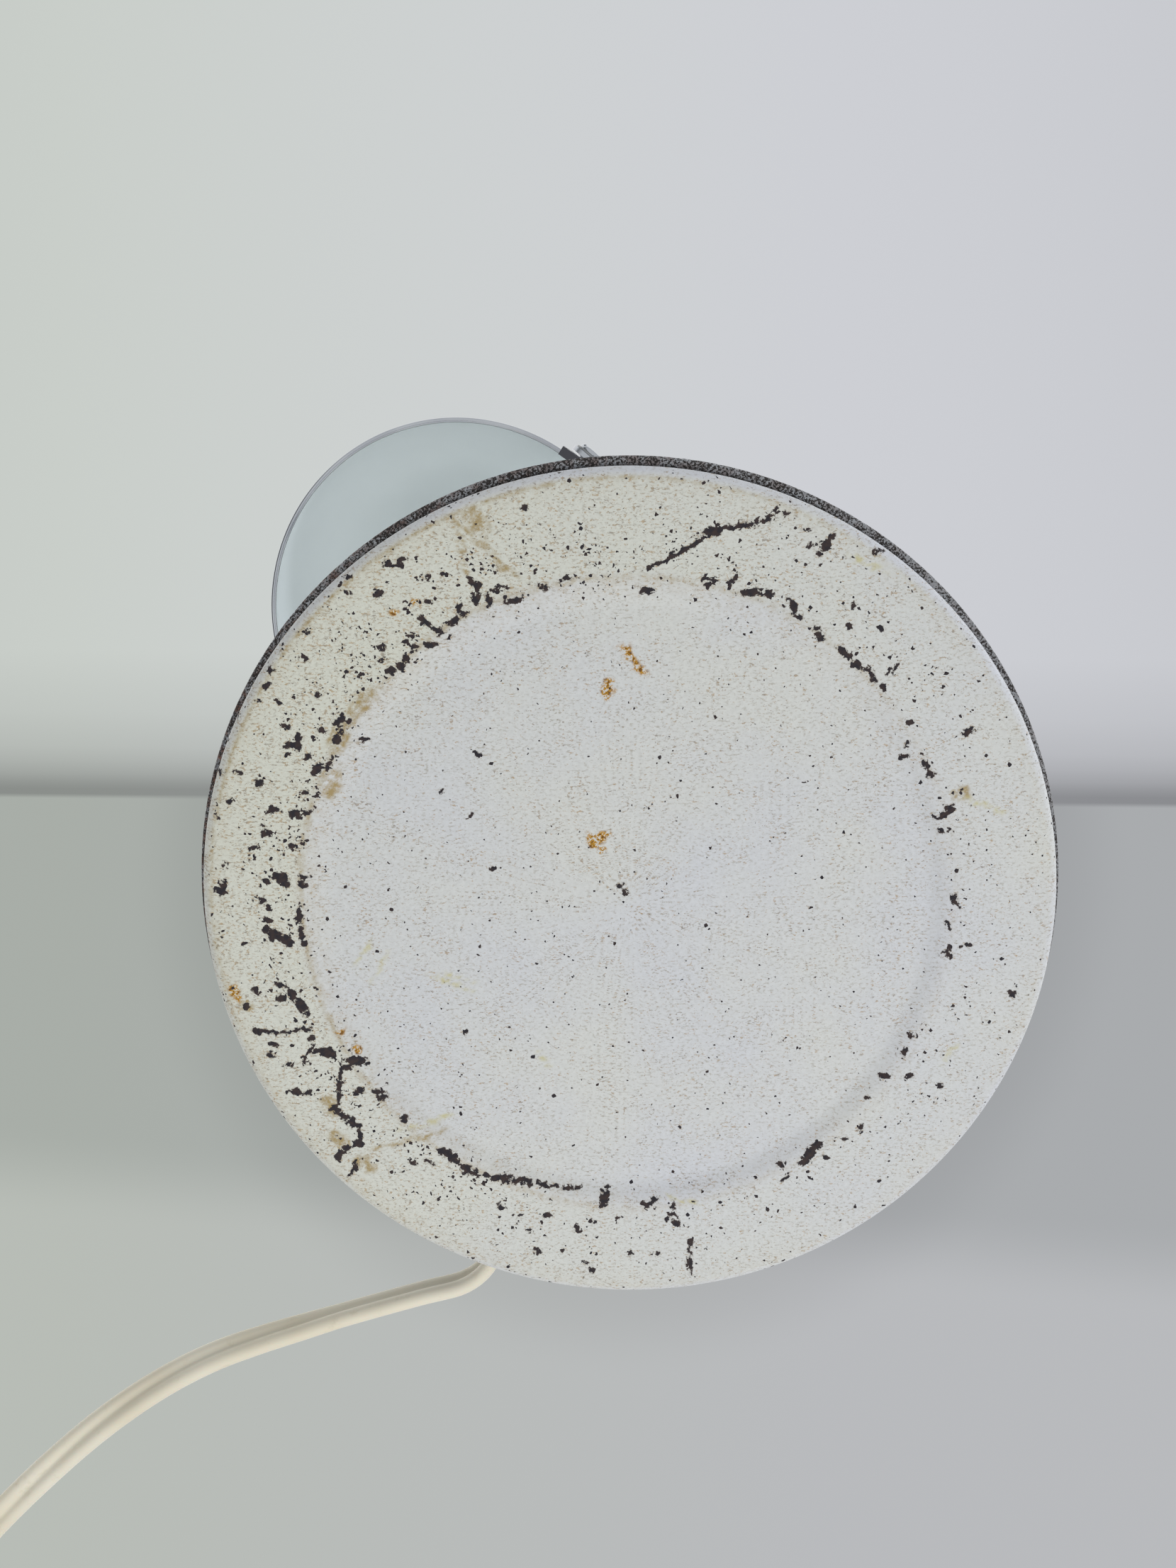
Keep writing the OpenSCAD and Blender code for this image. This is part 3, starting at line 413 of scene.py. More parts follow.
@dataclass(frozen=True, kw_only=True)
class PittedChrome(Finish):
    """Chrome plate that has stood damp at its hem: crowded pits and rust bloom low down, bright higher up."""

    name: str = "pitted_chrome_plate"
    slot: Slot = Slot.CHROME
    light: str = "#CDD0D4"
    dull: str = "#8F9092"
    pit: str = "#2C2724"
    rust: str = "#6B4633"
    hem_top: float = 0.0098
    fade: float = 0.009
    rusty_side: Triple = (-0.65, -0.75, 0.0)

    def wire(self, tree: Tree, spot: Socket) -> dict[str, object]:
        """Build pits that thin out with height, and the brown bloom, as Finish.wire says."""
        height = add_node(tree, "SeparateXYZ", {0: spot}, out="Z")
        reach = (self.hem_top, self.hem_top + self.fade)
        low = add_node(tree, "MapRange", {"Value": height, "From": reach, "To": (1.0, 0.0)})
        # Crowded pits of 0.2 to 0.5 mm, which run together at the hem.
        pits = Patches(0.4, 2, 0.7).wire(tree, spot)
        crowd = Patches(6, 4, 0.6, within=(0.25, 0.65), gives=(0.45, 0.58)).wire(tree, spot)
        limit = add_node(tree, "Math", {0: crowd, 1: low}, operation="MULTIPLY")
        pit = add_node(tree, "Math", {0: limit, 1: pits}, operation="SUBTRACT")
        pit = add_node(tree, "MapRange", {"Value": pit, "From": (-0.01, 0.05)})
        # Scattered pin-holes higher up, 4 mm apart.
        hole = add_node(tree, "TexVoronoi", {"Vector": spot, "Scale": 1 / 0.004}, out="Distance")
        hole = add_node(tree, "MapRange", {"Value": hole, "From": (0.05, 0.07), "To": (1.0, 0.0)})
        patch = Patches(20, within=(0.5, 0.6)).wire(tree, spot)
        hole = add_node(tree, "Math", {0: hole, 1: patch}, operation="MULTIPLY")
        pit = add_node(tree, "Math", {0: pit, 1: hole}, operation="MAXIMUM", use_clamp=True)
        # The bloom is browner on one side, where the damp came in.
        side = add_node(tree, "VectorMath", {0: spot, 1: self.rusty_side}, **DOT)
        side = add_node(tree, "MapRange", {"Value": side, "From": (-0.05, 0.07), "To": (0.25, 0.95)})
        bloom = Patches(2.2, 6, 0.75, within=(0.44, 0.58)).wire(tree, spot)
        for gate in (side, low):
            bloom = add_node(tree, "Math", {0: bloom, 1: gate}, operation="MULTIPLY")
        dull = add_node(tree, "Math", {0: low, 1: 0.6}, operation="MULTIPLY")
        worn = add_node(tree, "Math", {0: pit, 1: bloom}, operation="MAXIMUM", use_clamp=True)
        metal = add_node(tree, "Math", {0: 1.0, 1: worn}, operation="SUBTRACT", use_clamp=True)
        rough = add_node(tree, "MapRange", {"Value": low, "To": (0.09, 0.3)})
        rough = add_node(tree, "Mix", {0: worn, 2: rough, 3: 0.8}, data_type="FLOAT")
        bump = add_node(tree, "Bump", {"Height": worn, "Strength": 0.5, "Distance": 0.2 * MM}, invert=True)
        coats = [self.light, (dull, self.dull), (bloom, self.rust), (pit, self.pit)]
        return {"Base Color": coats, "Roughness": rough, "Metallic": metal, "Normal": bump}


@dataclass(frozen=True, kw_only=True)
class SprayedEnamel(Finish):
    """Sprayed off-white stoving enamel on pressed steel: speckled and grimy, chipped down to dark primer."""

    name: str = "sprayed_white_enamel"
    slot: Slot = Slot.ENAMEL
    fixed: tuple[tuple[str, float], ...] = (("IOR", 1.5), ("Specular IOR Level", 0.35))
    paint: str = "#D0D1CE"
    paint_cool: str = "#CCCED3"
    paint_warm: str = "#D1D2C4"
    fleck: str = "#9C9586"
    tan: str = "#A27E46"
    brown: str = "#6B5844"
    grime: str = "#A08C60"
    primer: str = "#29262B"
    primer_brown: str = "#3B302E"
    halo: str = "#7A6548"
    rust: str = "#B5851F"
    rust_dark: str = "#6A4517"
    scuff: str = "#C2BC93"

    def wire(self, tree: Tree, spot: Socket) -> dict[str, object]:
        """Build the paint, its specks and the marks that the mesh carries, as Finish.wire says."""
        marks = {
            mark: add_node(tree, "Attribute", out="Fac", attribute_name=mark)
            for mark in ("chip", "rust", "grime", "scuff", "stain", "pepper")
        }
        # Drifts of cooler paint, 30 mm across, and the warm side where it has yellowed. The rolled edge is
        # kept out of the warm side, in part as a painted highlight.
        drift = Patches(30, 3, within=(0.35, 0.65)).wire(tree, spot)
        colour = add_node(tree, "Mix", {0: drift, 6: self.paint_cool, 7: self.paint}, **RGBA)
        colour = add_node(tree, "Mix", {0: marks["grime"], 6: colour, 7: self.paint_warm}, **RGBA)
        # The spray dried as a fine stipple of 0.6 mm.
        stipple = Patches(0.6).wire(tree, spot)
        shade = add_node(tree, "MapRange", {"Value": stipple, "From": (0.3, 0.7), "To": (0.95, 1.03)})
        colour = add_node(tree, "VectorMath", {0: colour, 1: shade}, operation="MULTIPLY")
        # Dirt lies in short strokes along the way the pan was wiped, 0.4 mm wide and nearly twice as long.
        ways = ((0.36, 0.41, 0.0), (RIGHT_Y, -RIGHT_X, 0.0))
        along, across = (
            add_node(tree, "VectorMath", {0: spot, 1: way}, **DOT) for way in ways
        )
        wiped = add_node(tree, "CombineXYZ", {"X": along, "Y": across})
        faint = Patches(5, 3, 0.6, within=(0.3, 0.7), gives=(0.2, 0.75)).wire(tree, spot)
        fleck = Patches(0.42, 2, 0.6, within=(0.53, 0.68)).wire(tree, wiped)
        fleck = add_node(tree, "Math", {0: fleck, 1: faint}, operation="MULTIPLY")
        # Tan and brown grains gather in clusters of 3 mm, most of all where the pan is grimy.
        cluster = Patches(3.2, 4, 0.65).wire(tree, spot)
        gate = add_node(tree, "Math", {0: marks["grime"], 1: 0.17, 2: cluster}, operation="MULTIPLY_ADD")
        gate = add_node(tree, "MapRange", {"Value": gate, "From": (0.36, 0.8), "To": (0.66, 0.5)})
        grain = Patches(0.4, 3, 0.7).wire(tree, wiped)
        speck = add_node(tree, "Math", {0: grain, 1: gate}, operation="SUBTRACT")
        speck = add_node(tree, "MapRange", {"Value": speck, "From": (0.0, 0.05), "To": (0.0, 0.62)})
        kind = Patches(1.1, within=(0.42, 0.62)).wire(tree, spot)
        dirt = add_node(tree, "Mix", {0: kind, 6: self.tan, 7: self.brown}, **RGBA)
        # Grime lies in the press marks and in smears. The stain mark also holds a painted dark line of shade
        # where the pan's edge starts to roll. It stays off the rolled edge, in part as a painted highlight.
        smear = Patches(1.6, 6, 0.7, within=(0.36, 0.6)).wire(tree, spot)
        film, streak = (
            add_node(tree, "Math", {0: smear, 1: marks[mark]}, operation="MULTIPLY", use_clamp=True)
            for mark in ("stain", "scuff")
        )
        # Rust spots break up into grains of 0.6 mm with darker cores.
        parts = ((0.54, 0.6), (0.44, 0.5))
        cores, crust = (Patches(0.6, 3, 0.7, within=part).wire(tree, spot) for part in parts)
        core = add_node(tree, "Mix", {0: cores, 6: self.rust, 7: self.rust_dark}, **RGBA)
        rust = add_node(tree, "Math", {0: crust, 1: marks["rust"]}, operation="MULTIPLY", use_clamp=True)
        # The paint breaks along cracks into flakes of 0.5 mm and crumbs of 0.3 mm.
        # A flake here and there is gone.
        shaken = add_node(tree, "TexNoise", {"Vector": spot, "Scale": 1 / 0.0005, "Detail": 1.0}, out="Color")
        shaken = add_node(
            tree, "VectorMath", {0: shaken, 1: (0.0003, 0.0003, 0.0), 2: spot}, operation="MULTIPLY_ADD"
        )
        flakes = add_node(tree, "TexVoronoi", {"Vector": shaken, "Scale": 1 / 0.00052}, out="Color")
        flakes = add_node(tree, "SeparateXYZ", {0: flakes}, out="X")
        crumbs = add_node(tree, "TexVoronoi", {"Vector": shaken, "Scale": 1 / 0.00027}, out="Color")
        crumbs = add_node(tree, "SeparateXYZ", {0: crumbs}, out="Y")
        lost = Patches(4.5, 3, 0.6, within=(0.42, 0.7)).wire(tree, spot)
        lost = add_node(tree, "Math", {0: lost, 1: marks["pepper"]}, operation="MULTIPLY")
        gone = []
        for pieces, kept in ((flakes, (1.0, 0.87)), (crumbs, (0.9975, 0.95))):
            bar = add_node(tree, "MapRange", {"Value": lost, "To": kept})
            gone.append(add_node(tree, "Math", {0: pieces, 1: bar}, operation="GREATER_THAN"))
        pin = add_node(tree, "Math", {0: gone[0], 1: gone[1]}, operation="MAXIMUM")
        # Chips: the mesh carries how deep a point lies in one, plus 1, and whole flakes go at their edges.
        depth = marks["chip"]
        for pieces, fray in ((flakes, (-0.2, 0.24)), (crumbs, (-0.08, 0.08))):
            fray = add_node(tree, "MapRange", {"Value": pieces, "To": fray})
            depth = add_node(tree, "Math", {0: depth, 1: fray}, operation="ADD")
        ring = add_node(tree, "MapRange", {"Value": depth, "From": (0.8, 0.98), "To": (0.0, 0.3)})
        bare = add_node(tree, "MapRange", {"Value": depth, "From": (0.98, 1.04)})
        bare = add_node(tree, "Math", {0: bare, 1: pin}, operation="MAXIMUM", use_clamp=True)
        primer = add_node(tree, "Mix", {0: kind, 6: self.primer, 7: self.primer_brown}, **RGBA)
        rough = add_node(tree, "MapRange", {"Value": stipple, "To": (0.42, 0.52)})
        rough = add_node(tree, "Mix", {0: bare, 2: rough, 3: 0.72}, data_type="FLOAT")
        skin = add_node(tree, "Bump", {"Height": stipple, "Strength": 0.12, "Distance": 0.1 * MM})
        step = {"Height": bare, "Strength": 0.5, "Distance": 0.12 * MM, "Normal": skin}
        coats = [
            colour, (fleck, self.fleck), (speck, dirt), (film, self.grime), (streak, self.scuff),
            (rust, core), (ring, self.halo), (bare, primer),
        ]
        return {"Base Color": coats, "Roughness": rough, "Normal": add_node(tree, "Bump", step, invert=True)}


@dataclass(frozen=True, kw_only=True)
class ZincSteel(Finish):
    """Zinc-plated steel: greyish, softly crystalline and a little tarnished."""

    name: str = "zinc_plated_steel"
    slot: Slot = Slot.ZINC
    fixed: tuple[tuple[str, float], ...] = (("Metallic", 1.0),)
    bright: str = "#B4B6B8"
    dull: str = "#8C8D8C"

    def wire(self, tree: Tree, spot: Socket) -> dict[str, object]:
        """Build the spangle of 1.5 mm and the tarnish, as Finish.wire says."""
        spangle = add_node(tree, "TexVoronoi", {"Vector": spot, "Scale": 1 / 0.0015}, out="Color")
        cloud = Patches(4, 4).wire(tree, spot)
        blend = add_node(tree, "Mix", {0: 0.35, 6: cloud, 7: spangle}, **RGBA)
        rough = add_node(tree, "MapRange", {"Value": cloud, "To": (0.28, 0.5)})
        bump = add_node(tree, "Bump", {"Height": cloud, "Strength": 0.15, "Distance": 0.1 * MM})
        return {"Base Color": [self.bright, (blend, self.dull)], "Roughness": rough, "Normal": bump}


@dataclass(frozen=True, kw_only=True)
class Mottled(Finish):
    """A finish in clouds of colour, with patches that dull it and a grain that lifts it.

    Each cloud is (its colour, where it lies). The lift is a bump's strength and its depth in millimetres.
    """

    base: str
    clouds: tuple[tuple[str, Patches], ...]
    worn: Patches
    rough: Pair
    grain: Patches | None = None
    lift: Pair = (0.1, 0.1)

    def wire(self, tree: Tree, spot: Socket) -> dict[str, object]:
        """Build the clouds, the wear and the grain, as Finish.wire says."""
        coats = [(patches.wire(tree, spot), colour) for colour, patches in self.clouds]
        rough = add_node(tree, "MapRange", {"Value": self.worn.wire(tree, spot), "To": self.rough})
        feeds = {"Base Color": [self.base, *coats], "Roughness": rough}
        if self.grain:
            strength, deep = self.lift
            bump = {"Height": self.grain.wire(tree, spot), "Strength": strength, "Distance": deep * MM}
            feeds["Normal"] = add_node(tree, "Bump", bump)
        return feeds


CHROME = ChromePlate()
ZINC = ZincSteel()
# Matt white spray inside the shade: chalky, dead flat and faintly clouded.
MATT_WHITE = Mottled(
    name="matt_white_spray", slot=Slot.ENAMEL, fixed=(("IOR", 1.45), ("Specular IOR Level", 0.25)),
    base="#F2F9F9", clouds=(("#ECF3F3", Patches(15, 4)),),
    worn=Patches(0.5), rough=(0.6, 0.75), grain=Patches(0.5), lift=(0.15, 0.08),
)
# Compression-moulded black bakelite: brown-black, with a faint flow pattern, lint and a worn sheen.
FLOW = Patches(6, 5, 0.6, within=(0.45, 0.75), distort=1.4)
LINT = Patches(0.7, 3, within=(0.66, 0.74), gives=(0.0, 0.4))
BAKELITE = Mottled(
    name="black_bakelite", slot=Slot.BAKELITE,
    fixed=(("IOR", 1.6), ("Coat Weight", 0.15), ("Coat Roughness", 0.2)),
    base="#17130F", clouds=(("#2A211A", FLOW), ("#4A443C", LINT)),
    worn=FLOW, rough=(0.28, 0.45), grain=Patches(0.7, 3), lift=(0.08, 0.1),
)
# Extruded ivory vinyl flex: soft, a little greasy, yellowed and dirtier in places.
SMUDGES = Patches(4, 6, 0.7, within=(0.58, 0.78), gives=(0.0, 0.45))
IVORY_VINYL = Mottled(
    name="ivory_vinyl", slot=Slot.CABLE,
    fixed=(("IOR", 1.52), ("Subsurface Weight", 0.08), ("Subsurface Scale", 0.0008)),
    base="#E4DECB", clouds=(("#DAD0B6", Patches(30, 3, within=(0.35, 0.7))), ("#B9AC8B", SMUDGES)),
    worn=SMUDGES, rough=(0.38, 0.62), grain=Patches(1.2),
)
# Moulded ivory urea plastic: harder and glossier than the flex, with hairline scuffs.
HAIRLINES = (0.15, 1.0, 1.0)
IVORY_PLASTIC = Mottled(
    name="ivory_urea_plastic", slot=Slot.PLASTIC, fixed=(("IOR", 1.55),),
    base="#DAD2BB", clouds=(("#C4B998", Patches(12, 4, within=(0.4, 0.7))),),
    worn=Patches(0.4, within=(0.45, 0.75), stretch=HAIRLINES), rough=(0.24, 0.5),
    grain=Patches(0.4, stretch=HAIRLINES), lift=(0.06, 0.1),
)
# Turned and pressed brass: yellow metal gone brown in patches.
TARNISH = Patches(5, 5, 0.6, within=(0.4, 0.7))
BRASS = Mottled(
    name="tarnished_brass", slot=Slot.BRASS, fixed=(("Metallic", 1.0),), base="#C9A45A",
    clouds=(("#7E6236", TARNISH),), worn=TARNISH, rough=(0.22, 0.5), grain=TARNISH,
)
# Sand-cast grey iron: dark, dry and grainy, with rust bloom.
CAST_IRON = Mottled(
    name="sand_cast_iron", slot=Slot.IRON, fixed=(("Metallic", 0.6),), base="#3E3D3F",
    clouds=(("#5C4030", Patches(10, 6, within=(0.48, 0.66))),),
    worn=Patches(0.9, 4), rough=(0.6, 0.85), grain=Patches(0.9, 4), lift=(0.5, 0.3),
)
# Blown glass coated white inside: milky, smooth and glossy.
OPAL_GLASS = Mottled(
    name="opal_glass", slot=Slot.OPAL,
    fixed=(("IOR", 1.5), ("Subsurface Weight", 0.25), ("Subsurface Scale", 0.003)),
    base="#EDEBE4", clouds=(("#E1E0DA", Patches(10, 3)),), worn=Patches(10, 3), rough=(0.08, 0.16),
)
# Pressed white fibre washers: paper-like, dry and a little grubby.
FIBRES = Patches(0.6, 5, distort=0.6)
FIBRE = Mottled(
    name="pressed_white_fibre", slot=Slot.FIBRE, fixed=(("IOR", 1.45),), base="#D8D3C6",
    clouds=(("#A79F8C", Patches(0.6, 5, within=(0.45, 0.75), distort=0.6)),),
    worn=FIBRES, rough=(0.75, 0.9), grain=FIBRES, lift=(0.2, 0.1),
)


# --- making and dressing pieces --------------------------------------------


@dataclass
class Bench:
    """Where finished pieces are set down, dressed and put on their bodies."""

    sharp: float = 38.0

    def smooth(self, mesh: bpy.types.Mesh, limit: float) -> None:
        """Shade a mesh smooth up to a limit angle and sharp beyond it."""
        bm = bmesh.new()
        bm.from_mesh(mesh)
        for face in bm.faces:
            face.smooth = True
        for edge in bm.edges:
            edge.smooth = len(edge.link_faces) == 2 and edge.calc_face_angle(0.0) < math.radians(limit)
        bm.to_mesh(mesh)
        bm.free()

    def set_down(
        self,
        name: str,
        bm: bmesh.types.BMesh,
        finishes: Sequence[Finish],
        body: Body,
        stands_for: Sequence[str] = (),
        sharp: float | None = None,
    ) -> bpy.types.Object:
        """Turn a finished mesh into a dressed piece on its body.

        Args:
            name: the piece's name.
            bm: its mesh, which is freed.
            finishes: its materials, in the order of the mesh's material numbers.
            body: the body it rides on.
            stands_for: the solids it replaces.
            sharp: the angle above which an edge is sharp.

        Returns:
            The new object.
        """
        mesh = as_mesh(name, bm)
        self.smooth(mesh, self.sharp if sharp is None else sharp)
        for finish in finishes:
            mesh.materials.append(finish.made())
        piece = add_object(name, mesh)
        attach(piece, body.value)
        if stands_for:
            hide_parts(*stands_for)
        log.info("%s: %d faces, rides on %s", name, len(mesh.polygons), body.value)
        return piece

    def copy_of(self, node: str) -> bmesh.types.BMesh:
        """Copy a solid's mesh, merged and with its flat faces joined."""
        bm = bmesh.new()
        bm.from_mesh(frame["nodes"][node].data)
        bmesh.ops.remove_doubles(bm, verts=bm.verts, dist=3e-6)
        bmesh.ops.dissolve_degenerate(bm, edges=bm.edges, dist=1e-6)
        bmesh.ops.dissolve_limit(bm, angle_limit=math.radians(0.4), verts=bm.verts, edges=bm.edges)
        return bm

    def refine(
        self,
        node: str,
        finish: Finish,
        edge: float,
        segments: int = 2,
        limit: float = 35.0,
    ) -> bpy.types.Object:
        """Replace a solid by its own shape with softened edges.

        Args:
            node: the solid's name.
            finish: its finish.
            edge: the bevel's width in millimetres.
            segments: the steps across the bevel.
            limit: the angle in degrees above which an edge is softened.

        Returns:
            The new piece.
        """
        piece = self.set_down(node + "_dressed", self.copy_of(node), [finish], body_of(node), [node])
        bevel = piece.modifiers.new("softened_edges", "BEVEL")
        bevel.width = edge * MM
        bevel.segments = segments
        bevel.limit_method = "ANGLE"
        bevel.angle_limit = math.radians(limit)
        bevel.use_clamp_overlap = True
        bevel.harden_normals = False
        return piece

    def refine_each(self, *rows: tuple[Finish, float, int, str]) -> None:
        """Refine solids in order. Each row has a finish, a bevel's width and steps, and the solids' names."""
        for finish, edge, segments, nodes in rows:
            for node in nodes.split():
                self.refine(node, finish, edge, segments)

    def paint(self, node: str, finish: Finish) -> None:
        """Give a solid that stays its finish."""
        solid = frame["nodes"][node]
        solid.data.materials.clear()
        solid.data.materials.append(finish.made())
        log.info("%s: keeps its solid, dressed as %s", node, finish.name)

    def carve(self, piece: bpy.types.Object, cutter: bmesh.types.BMesh) -> None:
        """Cut a shape out of a piece for good.

        Args:
            piece: the piece that is cut.
            cutter: the closed shape that cuts it, which is freed.
        """
        mesh = as_mesh("cutter", cutter)
        tool = add_object("cutter", mesh)
        cut = piece.modifiers.new("cut", "BOOLEAN")
        cut.operation = "DIFFERENCE"
        cut.solver = "EXACT"
        cut.object = tool
        bpy.context.view_layer.update()
        graph = bpy.context.evaluated_depsgraph_get()
        result = bpy.data.meshes.new_from_object(piece.evaluated_get(graph), depsgraph=graph)
        piece.modifiers.remove(cut)
        old = piece.data
        piece.data = result
        result.name = piece.name
        bpy.data.meshes.remove(old)
        bpy.data.objects.remove(tool)
        bpy.data.meshes.remove(mesh)
        self.smooth(result, self.sharp)


# --- cords -----------------------------------------------------------------


def smooth_route(points: Sequence[Sequence[float]], spacing: float) -> Route:
    """Run one smooth curve through a route's points.

    Args:
        points: the route's points in millimetres.
        spacing: the distance between the curve's points in millimetres.

    Returns:
        The curve's points in millimetres, evenly spaced.
    """
    knots = [Vector(p) for p in points]
    fine: Route = []
    for i in range(len(knots) - 1):
        a, b = knots[max(i - 1, 0)], knots[i]
        c, d = knots[i + 1], knots[min(i + 2, len(knots) - 1)]
        for k in range(12):
            t = k / 12
            bend = (2 * a - 5 * b + 4 * c - d) * t * t
            fine.append(0.5 * (2 * b + (c - a) * t + bend + (3 * b - a - 3 * c + d) * t**3))
    fine.append(knots[-1])
    return respace(fine, spacing)


def respace(fine: Route, spacing: float) -> Route:
    """Space a route's points evenly.

    Args:
        fine: a route with close points.
        spacing: the distance wanted between points.

    Returns:
        The evenly spaced points, with the first and last kept.
    """
    lengths = [0.0]
    for a, b in zip(fine, fine[1:]):
        lengths.append(lengths[-1] + (b - a).length)
    count = max(2, round(lengths[-1] / spacing))
    out: Route = []
    j = 0
    for i in range(count + 1):
        want = lengths[-1] * i / count
        while j < len(fine) - 2 and lengths[j + 1] < want:
            j += 1
        span = max(lengths[j + 1] - lengths[j], 1e-9)
        out.append(fine[j].lerp(fine[j + 1], (want - lengths[j]) / span))
    return out


def skin(bm: bmesh.types.BMesh, rings: list[list[bmesh.types.BMVert]], closed: bool = False) -> None:
    """Join rings of points into a tube.

    Args:
        bm: the mesh that holds them.
        rings: the rings, in order along the tube.
        closed: whether the last ring joins the first.
    """
    loops = [[bm.edges.new((ring[k], ring[(k + 1) % len(ring)])) for k in range(len(ring))] for ring in rings]
    for a, b in zip(loops, loops[1:] + loops[: int(closed)]):
        bmesh.ops.bridge_loops(bm, edges=a + b)


def sweep(
    route: Route,
    section: Sequence[Point],
    up: Vector = Vector((0, 0, 1)),
    roll: Callable[[float], float] | None = None,
) -> bmesh.types.BMesh:
    """Sweep a section along a route into a closed tube.

    Args:
        route: the route's points in millimetres.
        section: the section's points as (across, through) in millimetres.
        up: what the section's width is square to.
        roll: the section's roll in degrees at a distance along the route, if it rolls.

    Returns:
        A new mesh in metres, with its faces outwards.
    """
    bm = bmesh.new()
    rings: list[list[bmesh.types.BMVert]] = []
    walked = 0.0
    side = None
    for i, point in enumerate(route):
        if i:
            walked += (point - route[i - 1]).length
        along = (route[min(i + 1, len(route) - 1)] - route[max(i - 1, 0)]).normalized()
        across = up.cross(along)
        if side is not None and across.length < 0.25:
            across = side - along * side.dot(along)
        across.normalize()
        side = across
        through = along.cross(across)
        a = math.radians(roll(walked)) if roll else 0.0
        e = across * math.cos(a) + through * math.sin(a)
        f = through * math.cos(a) - across * math.sin(a)
        rings.append([bm.verts.new((point + e * u + f * v) * MM) for u, v in section])
    skin(bm, rings)
    for ring in (rings[0], rings[-1]):
        bm.faces.new(ring)
    bmesh.ops.recalc_face_normals(bm, faces=bm.faces)
    return bm


@dataclass
class MainsLead:
    """The flat twin mains lead, from the skirt to its coil and plug, with the tie on the coil."""

    lobe_r: float = 1.5
    lobe_at: float = 1.47
    web: float = 0.85
    coil_x: float = -214.0
    coil_y: float = -51.0
    turns: float = 7.25
    plug_az: float = 264.0
    entry_knots: int = 8
    level_knots: int = 16
    start: tuple[Triple, ...] = (
        (-66.66, 26.93, 14), (-73.25, 29.59, 14), (-76.07, 30.35, 14), (-78.99, 30.4, 14),
        (-81.84, 29.75, 13.9), (-84.45, 28.42, 13.7), (-89.2, 24.8, 13.1), (-95.6, 19.9, 11.8),
        (-102.3, 14.6, 10), (-108.5, 9.7, 8.1), (-114.7, 5, 6.4), (-121.5, 0.6, 5), (-129.5, -3, 4.1),
        (-139.5, -6, 3.6), (-151, -8.3, 3.2), (-164.5, -9.9, 2.8), (-178, -10.8, 2.3), (-191, -11, 1.8),
        (-203, -11, 1.6), (-213, -11, 1.6),
    )
    end: tuple[Triple, ...] = (
        (-254, -51, 10.7), (-254, -56, 10.7), (-254.1, -62, 10.1), (-254.3, -69, 8.4), (-254.6, -77, 6.2),
        (-255.2, -85, 5.2), (-255.9, -93, 5.4), (-256.6, -99.5, 6), (-257.2, -105.47, 6),
    )
    radii: tuple[Triple, ...] = (
        (0.875, 1.0, -6), (1.875, 2.0, -6), (3.5, 3.68, 6), (4.5, 4.68, 6), (6.15, 6.35, -6), (6.95, 7.15, 6),
    )
    lifts: tuple[Triple, ...] = ((2.70, 2.85, 3.0), (5.3, 5.45, 3.0), (6.93, 7.1, 3.1))

    def eased(self, at: float, steps: Sequence[Triple]) -> float:
        """Add up the eased steps that a place along the coil has passed.

        Args:
            at: the number of turns so far.
            steps: each step as (first turn, last turn, height or radius gained).

        Returns:
            The sum in millimetres.
        """
        total = 0.0
        for first, last, gain in steps:
            t = min(1.0, max(0.0, (at - first) / (last - first)))
            total += gain * t * t * (3 - 2 * t)
        return total

    def coil(self) -> list[Triple]:
        """Give the coil's points, three layers of turns lying side by side."""
        points = []
        count = int(self.turns * 36)
        for i in range(1, count + 1):
            at = self.turns * i / count
            r = 40 + self.eased(at, self.radii)
            z = 1.6 + self.eased(at, self.lifts)
            a = math.radians(90 + 360 * at)
            points.append((self.coil_x + r * math.cos(a), self.coil_y + r * math.sin(a), z))
        return points

    def section(self) -> list[Point]:
        """Give the figure-of-eight section, two round cores joined by a web."""
        right = [
            (self.lobe_at + self.lobe_r * math.cos(t), self.lobe_r * math.sin(t))
            for t in (math.radians(a) for a in range(-136, 137, 17))
        ]
        left = [(-u, -v) for u, v in right]
        return right + [(0.0, self.web)] + left + [(0.0, -self.web)]

    def tie(self) -> bmesh.types.BMesh:
        """Make the paper-covered wire tie round the coil's turns, with its twisted ends."""
        bm = bmesh.new()
        corners = ((42.3, 8.6, 0), (25.7, 8.6, 90), (25.7, 0.9, 180), (42.3, 0.9, 270))
        loop = [Vector((x, 0, z)) for u, v, a in corners for x, z in arc((u, v), 0.85, a, a + 90, 6)]
        band = [(-1.9, -0.12), (1.9, -0.12), (1.9, 0.12), (-1.9, 0.12)]
        rings = []
        for i, spot in enumerate(loop):
            along = (loop[(i + 1) % len(loop)] - loop[i - 1]).normalized()
            out = Vector((0, 1, 0)).cross(along)
            rings.append([bm.verts.new((spot + Vector((0, u, 0)) + out * v) * MM) for u, v in band])
        skin(bm, rings, closed=True)
        bmesh.ops.recalc_face_normals(bm, faces=bm.faces)
        wire = [(0.45, 0.0), (0.0, 0.35), (-0.45, 0.0), (0.0, -0.35)]
        for side in (-0.55, 0.55):
            end = []
            for i in range(4):
                y, z = side * math.cos(3 * i) + 0.4 * i, 5 + side * math.sin(3 * i) + 0.9 * i
                end.append((min(42.9 + 0.8 * i, 43.0), y, z))
            merge_into(bm, sweep(smooth_route(end, 0.4), wire, Vector((1, 0, 0))))
        return place(bm, shift(self.coil_x, self.coil_y, 0), turn(-35, "Z"))

